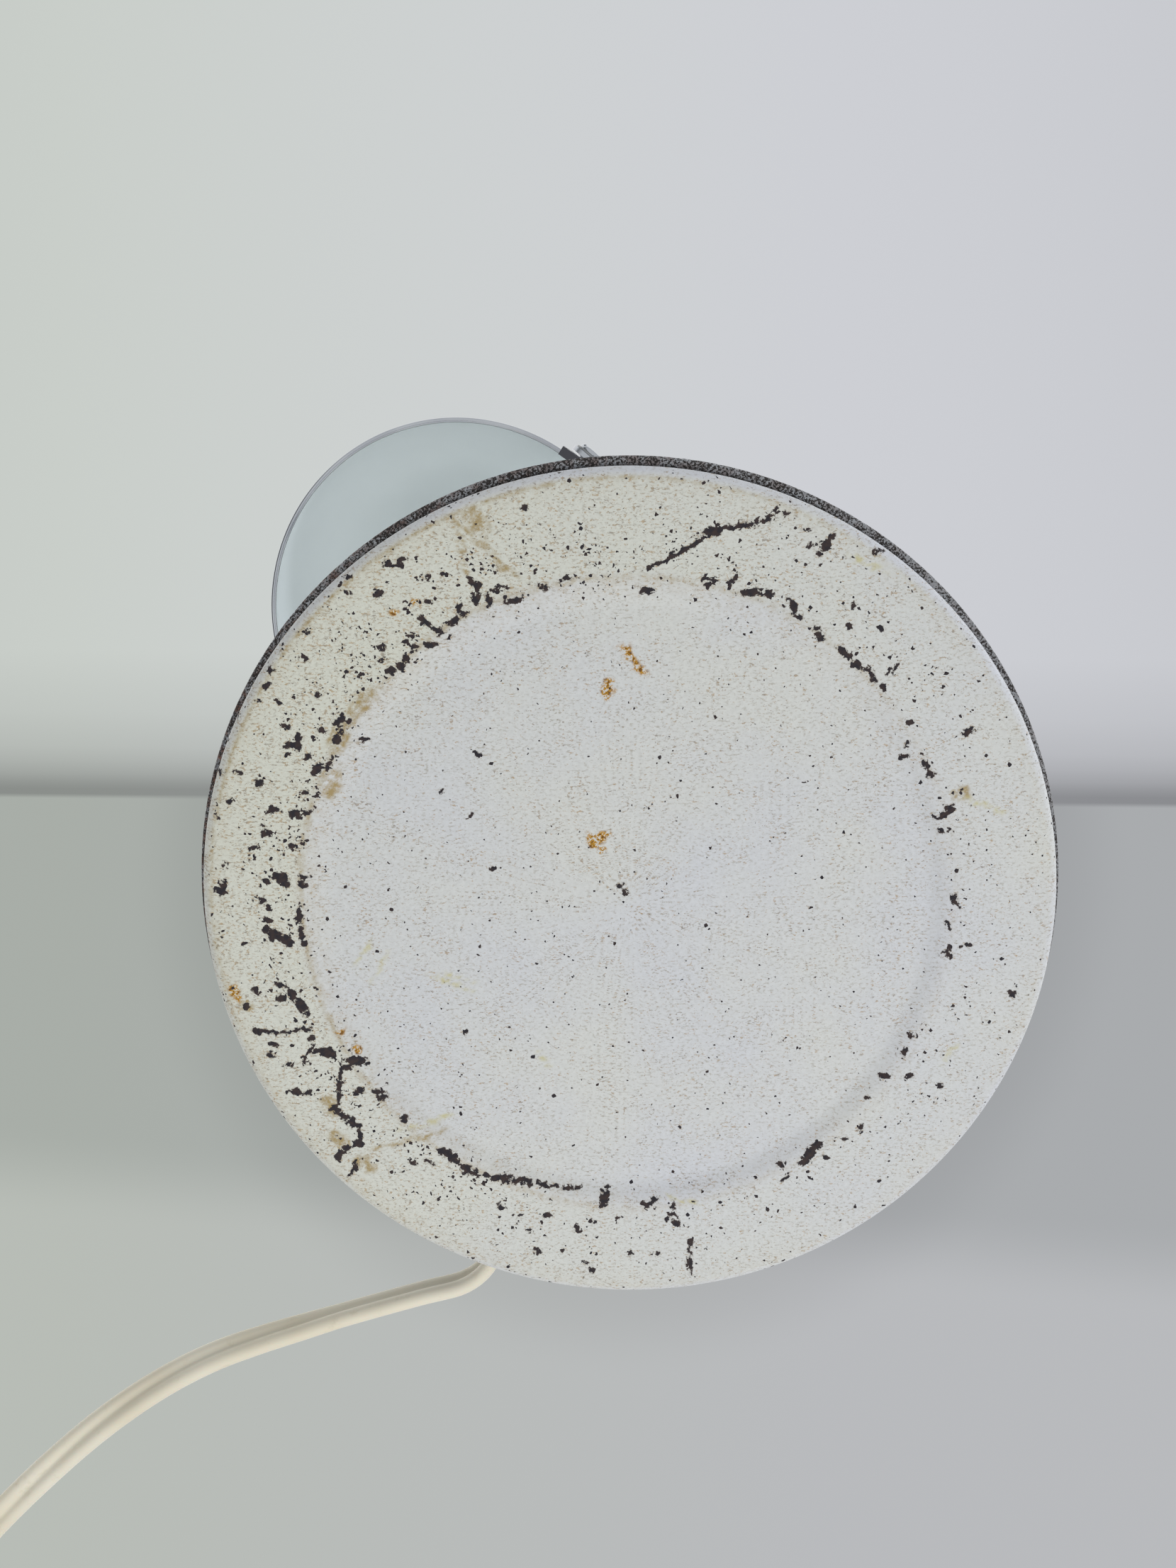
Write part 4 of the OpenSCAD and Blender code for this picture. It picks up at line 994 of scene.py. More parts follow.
    def plug(self, bench: Bench) -> list[bpy.types.Object]:
        """Dress the plug: a softened body with finger ridges, and its blades."""
        body = bench.refine("plug_body", IVORY_PLASTIC, 1.0, 4, limit=25)
        blades = bench.refine("plug_blades", BRASS, 0.25)
        ridges = bmesh.new()
        for side in (-1, 1):
            for i in range(4):
                merge_into(ridges, place(block((0.9, 0.9, 7.0), 0.3), shift(14.5 + 2.2 * i, side * 10.85, 0)))
        place(ridges, shift(*self.end[-1]), turn(self.plug_az, "Z"))
        return [body, blades, bench.set_down("plug_finger_ridges", ridges, [IVORY_PLASTIC], Body.BASE)]

    def build(self, bench: Bench) -> None:
        knots = list(self.start) + self.coil() + list(self.end)[1:]
        route = smooth_route(knots, 1.5)
        entry, level = (
            sum((Vector(a) - Vector(b)).length for a, b in zip(self.start[:count], self.start[1:]))
            for count in (self.entry_knots, self.level_knots)
        )

        def roll(walked: float) -> float:
            """Give the roll: edge-on by the base and lying flat before the coil."""
            t = min(1.0, max(0.0, (walked - entry) / (level - entry)))
            return 90.0 * (1 - t)

        length = sum((b - a).length for a, b in zip(route, route[1:])) * MM
        lead = bench.set_down(
            "mains_lead", sweep(route, self.section(), roll=roll), [IVORY_VINYL], Body.BASE,
            ["mains_cord", "cord_coil", "cord_tail"], sharp=80,
        )
        parts = self.plug(bench)
        parts.append(bench.set_down("coil_tie", self.tie(), [FIBRE], Body.BASE))
        log.info("mains_lead: %.3f m long", length)


@dataclass
class InnerLead:
    """One of the round sheathed leads inside the lamp, which show between its parts."""

    name: str
    node: str
    points: Sequence[Triple]
    radius: float = 1.8

    def build(self, bench: Bench) -> None:
        """Sweep the lead and set it in place of its solid."""
        ring = arc((0.0, 0.0), self.radius, 0, 360, 18)[:-1]
        bm = sweep(smooth_route(self.points, 1.2), ring, Vector((0.3, 1, 0.1)))
        bench.set_down(self.name, bm, [IVORY_VINYL], body_of(self.node), [self.node], sharp=60)


# --- the lamp --------------------------------------------------------------


def ripple(u: np.ndarray, v: np.ndarray, size: float, seed: int) -> np.ndarray:
    """Give smooth values from -1 to 1 that look random, the same each run.

    Args:
        u: places to the right, in millimetres.
        v: places upwards, in millimetres.
        size: the distance between crests, in millimetres.
        seed: which pattern.

    Returns:
        One value for each place.
    """
    a, b = np.asarray(u, float) / size, np.asarray(v, float) / size
    i, j = np.floor(a), np.floor(b)
    s, t = a - i, b - j
    s, t = s * s * (3 - 2 * s), t * t * (3 - 2 * t)

    def knot(p: np.ndarray, q: np.ndarray) -> np.ndarray:
        """Give the value at a lattice point."""
        h = np.sin(p * 127.1 + q * 311.7 + seed * 74.7) * 43758.5453
        return 2 * (h - np.floor(h)) - 1

    low = knot(i, j) * (1 - s) + knot(i + 1, j) * s
    high = knot(i, j + 1) * (1 - s) + knot(i + 1, j + 1) * s
    return low * (1 - t) + high * t


class MarkKind(Enum):
    """The kinds of mark on the painted pan, named as their mesh attributes."""

    CHIP = "chip"
    RUST = "rust"
    SCUFF = "scuff"
    STAIN = "stain"


@dataclass(frozen=True)
class Mark:
    """One mark on the pan: its place right and up as the underside is faced, its half sizes and its turn."""

    right: float
    up: float
    half_length: float
    half_width: float
    degrees: float = 0.0

    def depth(self, u: np.ndarray, v: np.ndarray, more: float = 0.0) -> np.ndarray:
        """Give how deep points lie inside the mark.

        Args:
            u: the points' places to the right, in millimetres.
            v: the points' places upwards, in millimetres.
            more: how far the mark is widened all round, in millimetres.

        Returns:
            The depth in millimetres, below 0 outside the mark.
        """
        t = math.radians(self.degrees)
        a = (u - self.right) * math.cos(t) + (v - self.up) * math.sin(t)
        b = (v - self.up) * math.cos(t) - (u - self.right) * math.sin(t)
        long, wide = self.half_length + more, self.half_width + more
        return (1 - np.sqrt((a / long) ** 2 + (b / wide) ** 2)) * min(long, wide)


CHIPS: tuple[tuple[float, float, float, float, float], ...] = (
    (3.8, 54.7, 0.75, 0.50, 0), (-16.1, 68.4, 0.50, 0.37, 0), (21.1, 54.2, 1.23, 0.37, 0),
    (24.2, 54.0, 0.50, 0.37, 0), (28.0, 51.7, 1.23, 0.50, -60), (28.8, 50.1, 0.61, 0.50, -60),
    (32.6, 47.1, 0.86, 0.50, -70), (31.8, 48.2, 0.50, 0.37, 0), (36.7, 44.0, 0.99, 0.50, -40),
    (38.7, 42.2, 0.74, 0.50, -40), (41.1, 40.4, 1.11, 0.37, -45), (43.4, 38.0, 0.50, 0.37, 0),
    (48.2, 32.2, 0.61, 0.61, 0), (47.6, 28.7, 0.51, 0.25, -80), (47.4, 26.1, 0.45, 0.34, 0),
    (51.0, 24.9, 0.61, 0.37, -60), (51.9, 23.5, 0.74, 0.49, -60), (54.8, 16.9, 1.11, 0.37, 30),
    (53.7, 15.9, 0.59, 0.24, 0), (57.1, 0.9, 0.86, 0.31, -85), (56.1, -3.7, 0.36, 0.24, -80),
    (56.4, -7.4, 0.74, 0.43, 90), (56.0, -8.8, 0.61, 0.36, 0), (59.0, -7.2, 0.49, 0.25, 0),
    (67.4, -15.9, 0.49, 0.37, 0), (50.6, -23.6, 0.47, 0.29, 0), (49.5, -26.8, 0.74, 0.50, 60),
    (45.9, -31.3, 0.58, 0.41, 0), (50.5, -31.4, 0.49, 0.37, 0), (55.6, -33.4, 0.31, 0.25, 0),
    (33.2, -46.0, 1.10, 0.74, 50), (32.2, -47.7, 0.99, 0.49, 40), (34.3, -44.8, 0.61, 0.49, 0),
    (27.9, -48.6, 0.61, 0.49, 0), (28.5, -51.4, 0.74, 0.31, 60), (39.4, -43.2, 0.49, 0.31, 0),
    (35.9, -46.8, 0.37, 0.25, 0), (41.9, -41.1, 0.37, 0.25, 30), (43.3, -35.5, 0.30, 0.24, 0),
    (-4.3, -55.3, 1.31, 0.50, 75), (-4.9, -56.6, 0.69, 0.46, 70), (-3.9, -54.2, 0.62, 0.50, 0),
    (8.3, -58.6, 0.44, 0.37, 0), (8.8, -60.3, 0.49, 0.74, 0), (4.7, -55.8, 0.49, 0.31, 0),
    (7.3, -59.2, 0.37, 0.37, 0), (-6.6, -59.8, 0.37, 0.31, 0), (-9.3, -61.2, 0.44, 0.37, 0),
    (-14.9, -58.9, 0.37, 0.25, 0), (-23.3, -56.9, 0.50, 0.37, 0), (-33.1, -46.5, 1.23, 0.74, -25),
    (-32.0, -47.8, 0.86, 0.61, -30), (-29.8, -49.2, 0.99, 0.61, -20), (-28.2, -50.1, 0.86, 0.37, -30),
    (-26.0, -50.7, 0.61, 0.37, 0), (-24.2, -51.1, 0.61, 0.43, 0), (-22.2, -51.5, 0.74, 0.37, -10),
    (-20.1, -52.0, 0.61, 0.36, 0), (-18.1, -52.3, 0.74, 0.37, -8), (-15.8, -52.7, 0.61, 0.31, 0),
    (-13.7, -53.1, 0.61, 0.25, 0), (-11.4, -53.4, 0.50, 0.25, 0), (-9.4, -53.6, 0.50, 0.25, 0),
    (-36.3, -48.2, 0.74, 0.37, -5), (-39.5, -47.9, 0.61, 0.37, 0), (-40.5, -39.6, 0.49, 0.36, 0),
    (-45.1, -34.4, 0.74, 0.37, -20), (-44.2, -35.6, 0.49, 0.30, 0), (-48.5, -34.1, 0.74, 0.50, 30),
    (-48.7, -28.3, 1.46, 0.73, -15), (-50.5, -29.4, 0.99, 0.50, 10), (-53.9, -26.8, 1.48, 0.62, -8),
    (-55.8, -26.5, 0.62, 0.50, 0), (-57.4, -27.0, 1.11, 0.22, 70), (-51.9, -31.1, 1.72, 0.25, 80),
    (-52.3, -35.1, 1.60, 0.27, 85), (-52.9, -37.6, 0.74, 0.50, 0), (-51.6, -39.1, 1.23, 0.50, -35),
    (-49.8, -40.5, 0.99, 0.49, -40), (-49.0, -42.6, 0.99, 0.49, 85), (-49.4, -44.6, 0.86, 0.86, 0),
    (-51.3, -45.5, 0.86, 0.50, 20), (-52.6, -46.8, 0.99, 0.74, 45), (-50.1, -49.1, 1.11, 0.31, 60),
    (-61.5, -13.8, 1.11, 0.44, -35), (-59.6, -15.7, 1.23, 0.61, -45), (-58.0, -17.7, 1.36, 0.61, -60),
    (-57.2, -19.3, 0.50, 0.50, 0), (-61.4, -16.6, 0.62, 0.50, 0), (-66.2, -15.1, 0.50, 0.50, 0),
    (-67.9, -17.8, 0.62, 0.37, 20), (-65.6, -22.6, 1.23, 0.31, -5), (-62.2, -23.0, 0.99, 0.31, 0),
    (-59.0, -22.5, 0.86, 0.25, 20), (-57.2, -22.2, 0.62, 0.37, 0), (-56.6, -24.0, 0.37, 0.37, 0),
    (-63.4, -25.2, 0.50, 0.25, 0), (-71.1, 3.4, 0.86, 0.50, 0), (-70.7, 4.3, 0.37, 0.75, 0),
    (-60.6, 5.6, 1.36, 0.62, 0), (-62.9, 5.2, 0.62, 0.37, 0), (-59.6, 4.8, 0.75, 0.50, 0),
    (-56.2, 5.7, 0.58, 0.35, 0), (-56.8, 4.5, 0.49, 0.36, 0), (-57.4, 17.3, 0.86, 0.50, 0),
    (-55.2, 17.7, 0.86, 0.31, 10), (-60.9, 17.8, 0.75, 0.37, 0), (-62.3, 13.8, 0.75, 0.31, 0),
    (-56.9, 29.2, 1.11, 0.50, 0), (-55.7, 30.2, 0.50, 0.62, 0), (-57.7, 32.5, 0.50, 0.37, 0),
    (-54.4, 27.0, 0.50, 0.37, 0), (-50.4, 26.9, 0.61, 0.37, 30), (-53.0, 25.2, 0.86, 0.50, 40),
    (-51.1, 25.5, 0.49, 0.37, 0), (-55.4, 20.9, 0.50, 0.37, 0), (-49.3, 30.1, 0.50, 0.37, 0),
    (-48.9, 32.8, 0.74, 0.62, 40), (-48.0, 33.6, 0.62, 0.50, 60), (-47.0, 33.3, 0.37, 0.25, 0),
    (-48.5, 31.4, 0.50, 0.37, 0), (-51.5, 31.8, 0.37, 0.25, 0), (-57.5, -1.0, 0.86, 0.37, 80),
    (-57.2, -4.3, 0.99, 0.50, 90), (-56.8, -6.4, 0.61, 0.61, 0), (-61.8, -4.8, 1.61, 0.75, -10),
    (-60.0, -6.0, 1.11, 0.62, -20), (-63.6, -3.9, 0.62, 0.62, 0), (-63.2, -2.1, 0.50, 0.50, 0),
    (-64.1, 1.5, 0.50, 0.50, 0), (-62.9, 0.3, 0.37, 0.37, 0), (-25.0, 27.4, 0.44, 0.37, 0),
    (-23.1, 7.0, 0.37, 0.37, 0), (-31.4, 20.7, 0.31, 0.25, 0), (-27.0, 16.4, 0.25, 0.25, 0),
    (-1.0, 3.4, 0.50, 0.44, 0), (0.0, 2.2, 0.50, 0.50, 0), (-28.9, -23.8, 0.31, 0.25, 0),
    (-60.2, -34.3, 0.74, 0.37, -20), (-58.1, -34.6, 0.50, 0.37, 0), (-61.1, -28.9, 0.50, 0.31, 0),
    (-64.1, -27.2, 0.37, 0.31, 0), (-52.0, 37.9, 0.37, 0.25, 0), (-60.8, 39.5, 0.62, 0.37, 60),
    (-62.3, 37.0, 0.37, 0.25, 0), (-60.1, 42.1, 0.37, 0.25, 0), (-54.0, 44.2, 0.50, 0.37, 0),
    (-53.4, 48.6, 0.37, 0.25, 0), (-46.1, 57.7, 0.50, 0.37, 0), (-45.9, 54.9, 0.37, 0.25, 0),
    (-39.1, 59.4, 0.50, 0.37, 0), (-37.4, 59.2, 0.62, 0.37, 0), (-36.7, 60.2, 0.50, 0.25, 0),
    (-41.0, 54.7, 0.37, 0.25, 0), (-24.3, 55.7, 0.62, 0.62, 0), (-25.2, 56.3, 0.50, 0.37, 0),
    (-24.6, 53.8, 0.74, 0.50, 80), (-22.4, 53.6, 0.37, 0.75, 0), (-20.8, 55.3, 0.99, 0.25, 30),
    (-18.2, 53.6, 0.86, 0.19, 10), (-27.4, 52.1, 0.37, 0.75, 0), (-28.1, 50.3, 0.50, 0.50, 0),
    (-26.6, 51.1, 0.37, 0.50, 0), (-29.1, 49.8, 0.62, 0.25, 30), (-33.3, 49.9, 0.99, 0.25, -40),
    (-31.3, 48.7, 0.75, 0.37, -20), (-32.4, 46.1, 0.85, 0.36, 0), (-35.2, 45.5, 0.62, 0.37, 20),
    (-36.6, 43.8, 0.50, 0.61, 0), (-39.2, 41.5, 0.61, 0.49, 0), (-37.5, 42.5, 0.49, 0.36, 0),
    (-40.7, 45.9, 0.37, 0.31, 0), (-37.0, 46.5, 0.37, 0.25, 0), (-35.6, 47.6, 0.37, 0.25, 0),
    (-32.7, 53.2, 0.37, 0.25, 0), (-40.7, 43.6, 0.31, 0.25, 0), (-32.9, 57.3, 0.37, 0.25, 0),
    (-29.7, 57.9, 0.37, 0.25, 0), (-13.0, 55.6, 0.62, 0.25, -20), (-9.7, 56.8, 0.50, 0.20, 0),
    (13.4, 56.4, 0.37, 0.25, 0), (15.0, 56.2, 0.37, 0.25, 0), (13.9, 55.3, 0.31, 0.25, 0),
    (18.5, 56.3, 0.37, 0.25, 60), (17.6, 55.3, 0.37, 0.25, 60), (38.0, 51.6, 0.50, 0.25, 60),
    (37.4, 48.1, 0.37, 0.25, 0), (42.7, 48.0, 0.37, 0.31, 0), (33.2, 61.6, 0.62, 0.44, 20),
    (34.6, 62.9, 0.37, 0.37, 0), (32.0, 60.1, 0.50, 0.25, 30), (30.9, 61.4, 0.37, 0.25, 0),
    (26.7, 66.8, 0.50, 0.20, 30), (25.0, 67.8, 0.37, 0.20, 60), (29.9, 64.2, 0.37, 0.25, 0),
    (41.8, 60.5, 0.50, 0.25, 0), (57.5, 30.4, 0.49, 0.37, 0), (58.6, 30.8, 0.37, 0.25, 0),
    (45.4, 41.2, 0.37, 0.19, 60), (44.4, 40.4, 0.37, 0.19, 60), (53.9, 13.5, 0.34, 0.23, 0),
    (55.7, 13.5, 0.37, 0.25, 0), (0.4, -65.9, 0.37, 0.37, 0), (-6.7, -69.8, 0.49, 0.49, 0),
    (-7.8, -68.2, 0.37, 0.25, 0), (11.6, -64.1, 0.37, 0.74, 0), (11.4, -68.3, 0.20, 1.72, 0),
    (5.2, -66.4, 0.31, 0.25, 0), (-16.8, -66.0, 0.37, 0.25, 0), (-18.4, -61.6, 0.31, 0.25, 0),
    (-19.9, -58.5, 0.31, 0.25, 0), (-12.0, -65.8, 0.31, 0.25, 0), (-2.0, -59.0, 0.37, 0.25, 0),
    (3.2, -56.2, 0.31, 0.25, 0), (8.1, -56.8, 0.25, 0.49, 0), (17.0, 64.7, 1.73, 0.32, 12),
    (14.6, 64.2, 1.48, 0.50, 10), (12.2, 62.6, 1.48, 0.27, 40), (9.8, 61.1, 1.48, 0.25, 25),
    (7.3, 59.8, 1.48, 0.22, 25), (5.1, 58.8, 0.86, 0.20, 20), (20.6, 65.1, 1.73, 0.22, 8),
    (23.8, 66.1, 1.23, 0.25, 25), (-70.3, 8.0, 0.37, 0.31, 0), (-69.9, 24.5, 0.37, 0.25, 0),
    (-70.6, 16.8, 0.37, 0.37, 0), (-68.1, 19.4, 0.37, 0.25, 0), (-66.7, 24.5, 0.37, 0.25, 0),
    (-67.5, -6.4, 0.37, 0.25, 0), (-63.1, 22.5, 0.37, 0.37, 0), (-63.1, 15.1, 0.37, 0.25, 0),
    (-64.9, 11.1, 0.37, 0.25, 0), (-57.7, 11.0, 0.37, 0.25, 0), (-56.0, 12.2, 0.31, 0.25, 0),
    (-58.6, 36.6, 0.37, 0.25, 0), (-44.6, 29.9, 0.35, 0.23, 0),
)
RUST_SPOTS: tuple[tuple[float, float, float, float, float], ...] = (
    (1.7, 43.1, 2.40, 0.50, -48), (2.6, 41.5, 0.90, 0.50, -20), (0.7, 44.5, 0.70, 0.40, 60),
    (-2.6, 38.5, 1.20, 1.00, 70), (-2.9, 37.1, 0.60, 0.50, 0), (-4.7, 12.2, 1.60, 0.90, 20),
    (-5.6, 10.9, 0.70, 0.60, 0), (-3.4, 13.1, 0.70, 0.50, 0), (-4.2, 10.2, 0.50, 0.40, 0),
    (-69.8, -15.0, 0.99, 0.79, 60), (-69.3, -16.6, 0.50, 0.40, 0), (-51.7, -22.9, 0.57, 0.38, 0),
    (-48.6, -26.3, 0.47, 0.37, 0), (-35.0, 53.1, 0.60, 0.40, 30), (-38.8, 51.6, 0.70, 0.40, 10),
)
STAINS: tuple[tuple[float, float, float, float, float], ...] = (
    (-24.5, 66.8, 1.89, 1.29, -30), (-23.6, 65.4, 1.19, 0.89, 0), (57.4, 20.0, 1.49, 0.99, 20),
    (-67.9, -17.8, 1.19, 0.89, 0), (-22.9, 62.1, 4.57, 0.30, -42), (-21.1, 60.2, 2.58, 0.25, -60),
    (-40.5, -44.0, 4.72, 0.30, 14), (-26.7, 61.3, 2.98, 0.30, -78), (-48.7, 30.5, 2.98, 1.59, 60),
    (-44.5, 36.4, 2.98, 1.39, 50), (-50.6, 22.5, 2.41, 1.41, 75), (-53.9, -36.8, 1.98, 1.19, -60),
    (-52.5, -43.8, 2.18, 1.29, -55), (-48.1, -48.7, 1.98, 1.29, -45),
)
SCUFFS: tuple[tuple[float, float, float, float, float], ...] = (
    (61.0, 18.0, 4.35, 0.35, -22), (-31.2, -14.3, 3.99, 0.40, -22), (-30.2, -13.2, 3.19, 0.25, -18),
    (-46.8, -8.5, 2.59, 0.35, 52), (39.6, 58.7, 3.76, 0.30, -24), (-43.9, -11.2, 3.19, 0.30, 60),
    (-36.7, -40.9, 4.95, 0.33, 12), (-33.4, -39.8, 4.19, 0.25, 18), (9.8, -55.8, 3.36, 0.30, -12),
    (57.5, -26.7, 2.97, 0.30, 52), (-15.1, -28.8, 1.59, 0.25, -50),
)


@dataclass
class BottomPan:
    """The painted pressing under the base: a raised middle, a sloped step and a rolled edge."""

    radius: float = 75.0
    sheet: float = 1.2
    edge_r: float = 2.6
    height: float = 7.4
    step_r: float = 57.0
    step_w: float = 5.0
    step_h: float = 1.4
    cells: int = 188

    def level(self, r: np.ndarray) -> np.ndarray:
        """Give the underside's height at each distance from the axis, in millimetres."""
        t = np.clip((r - (self.step_r - self.step_w)) / self.step_w, 0, 1)
        return self.step_h * (1 + np.cos(math.pi * t)) / 2

    def face(self) -> bmesh.types.BMesh:
        """Make the flat part as a square grid drawn into a round one, so that its cells stay near 0.8 mm."""
        bm = bmesh.new()
        bmesh.ops.create_grid(bm, x_segments=self.cells, y_segments=self.cells, size=1.0)
        reach = self.radius - self.edge_r
        for vert in bm.verts:
            a, b = vert.co.x, vert.co.y
            if abs(a) < 1e-9 and abs(b) < 1e-9:
                r, t = 0.0, 0.0
            elif abs(a) >= abs(b):
                r, t = a, math.pi / 4 * b / a
            else:
                r, t = b, math.pi / 2 - math.pi / 4 * a / b
            z = float(self.level(np.array(abs(r) * reach)))
            vert.co = Vector((r * reach * math.cos(t), r * reach * math.sin(t), z)) * MM
        return bm

    def sharpen(self, bm: bmesh.types.BMesh) -> None:
        """Split the cells round the chips into sixteen, so that a chip's edge is drawn to 0.2 mm.

        Args:
            bm: the flat part, in metres.
        """
        middles = np.array([f.calc_center_median() for f in bm.faces]) / MM
        u, v = self.faced(middles[:, 0], middles[:, 1])
        close = np.zeros(len(u), bool)
        for numbers in CHIPS + RUST_SPOTS:
            chip = Mark(*numbers)
            reach = chip.half_length + 1.2
            near = np.flatnonzero((abs(u - chip.right) < reach) & (abs(v - chip.up) < reach))
            close[near[chip.depth(u[near], v[near], 0.9) > 0]] = True
        edges = {edge for face, wanted in zip(bm.faces, close) if wanted for edge in face.edges}
        bmesh.ops.subdivide_edges(bm, edges=list(edges), cuts=3, use_grid_fill=True)
        for vert in bm.verts:
            vert.co.z = float(self.level(np.array(math.hypot(vert.co.x, vert.co.y) / MM))) * MM

    def mesh(self) -> bmesh.types.BMesh:
        """Join the flat part and the rolled edge into one sheet."""
        bm = self.face()
        self.sharpen(bm)
        edge = arc((self.radius - self.edge_r, self.edge_r), self.edge_r, -90, 0, 7)
        inner = arc((self.radius - self.edge_r, self.edge_r), self.edge_r - self.sheet, 0, -90, 3)
        wall = [(self.radius, self.height), (self.radius - self.sheet, self.height)]
        merge_into(bm, turned(edge + wall + inner, 4 * self.cells))
        bmesh.ops.remove_doubles(bm, verts=bm.verts, dist=2e-5)
        bmesh.ops.recalc_face_normals(bm, faces=bm.faces)
        lowest = min(bm.faces, key=lambda f: f.calc_center_median().z + f.calc_center_median().length)
        if lowest.normal.z > 0:
            bmesh.ops.reverse_faces(bm, faces=bm.faces)
        return bm

    def faced(self, x: np.ndarray, y: np.ndarray) -> tuple[np.ndarray, np.ndarray]:
        """Give places right and up as the underside is faced, from places along x and y."""
        return RIGHT_X * x + RIGHT_Y * y, RIGHT_Y * x - RIGHT_X * y

    def mark(self, mesh: bpy.types.Mesh) -> None:
        """Write the pan's marks into the mesh as attributes that the paint reads.

        Args:
            mesh: the pan's mesh, in metres.
        """
        spots = np.empty(len(mesh.vertices) * 3, np.float32)
        mesh.vertices.foreach_get("co", spots)
        u, v = self.faced(spots[0::3] / MM, spots[1::3] / MM)
        wobble_u = u + 0.4 * ripple(u, v, 1.3, 1) + 0.25 * ripple(u, v, 0.6, 2)
        wobble_v = v + 0.4 * ripple(u, v, 1.3, 3) + 0.25 * ripple(u, v, 0.6, 4)
        swell = 0.1 * ripple(u, v, 0.7, 5) + 0.18
        r = np.hypot(u, v)
        angle = np.degrees(np.arctan2(v, u))

        def facing(bearing: float) -> np.ndarray:
            """Give how nearly each point lies at a bearing: 1 there, -1 opposite."""
            return np.cos(np.radians(angle - bearing))

        layers: dict[str, np.ndarray] = {}
        for kind, marks in (
            (MarkKind.CHIP, CHIPS), (MarkKind.RUST, RUST_SPOTS),
            (MarkKind.STAIN, STAINS), (MarkKind.SCUFF, SCUFFS),
        ):
            depth = np.full(len(u), -9.0)
            for numbers in marks:
                mark = Mark(*numbers)
                reach = mark.half_length + 3
                near = (abs(u - mark.right) < reach) & (abs(v - mark.up) < reach)
                depth[near] = np.maximum(depth[near], mark.depth(wobble_u[near], wobble_v[near]))
            layers[kind.value] = depth
        layers["chip"] = np.clip(layers["chip"] + swell + 1, 0, 3)
        layers["rust"] = np.clip(layers["rust"] / 0.4 + 1.0, 0, 1)
        layers["scuff"] = np.clip(layers["scuff"] / 0.25 + 0.5, 0, 1)
        stain = np.clip(layers["stain"] / 0.5 + 0.7, 0, 1) * 1.5
        # The dirty line where the step starts, and grime towards the left and in the ring.
        left = np.clip(facing(165) * 0.5 + 0.5, 0, 1)
        top = np.clip(facing(90), 0, 1)
        line = np.exp(-(((r - 57.1 - 0.3 * np.sin(np.radians(angle * 7))) / 0.5) ** 2)) * (0.12 + 0.5 * left)
        slope = np.clip(1 - abs(r - 55.5) / 3.0, 0, 1) * (0.08 + 0.25 * left)
        rim = np.clip((r - 69.0) / 5, 0, 1) * (0.15 + 0.5 * left)
        # The rolled edge is kept free of stain and grime except towards the left, partly a cleaner edge and
        # partly a painted highlight where light catches it. A painted dark line of shade marks where it
        # starts, strongest up and to the left.
        up_left = np.clip(facing(125), 0, 1)
        edge_shade_line = np.exp(-(((r - 73.0) / 0.28) ** 2)) * (0.06 + 0.6 * up_left**1.5)
        rolled = np.clip((r - 73.3) / 0.4, 0, 1) * (1 - 0.75 * np.clip(facing(200), 0, 1))
        layers["stain"] = np.clip((stain + line + slope * 0.6 + rim * 0.4) * (1 - rolled) + edge_shade_line, 0, 1)
        ring = np.clip((r - 56.0) / 2.5, 0, 1)
        inside = 0.1 + 0.16 * np.clip(-u / 50, 0, 1) + 0.1 * top
        outside = 0.2 + 0.7 * left**1.4 + 0.15 * top
        layers["grime"] = np.clip(inside * (1 - ring) + ring * outside, 0, 1) * (1 - rolled)
        near_step = np.clip(1 - abs(r - 60.5) / 7.5, 0, 1) ** 0.7
        layers["pepper"] = np.clip(0.03 + near_step * (0.25 + 0.9 * left**2.2) + 0.2 * ring * left, 0, 1)
        for name, values in layers.items():
            attribute = mesh.attributes.new(name, "FLOAT", "POINT")
            attribute.data.foreach_set("value", values.astype(np.float32))

    def build(self, bench: Bench) -> None:
        """Make, mark and dress the pan."""
        pan = bench.set_down(
            "painted_pan", self.mesh(), [SprayedEnamel()], Body.BASE, ["bottom_pan"], sharp=50
        )
        self.mark(pan.data)


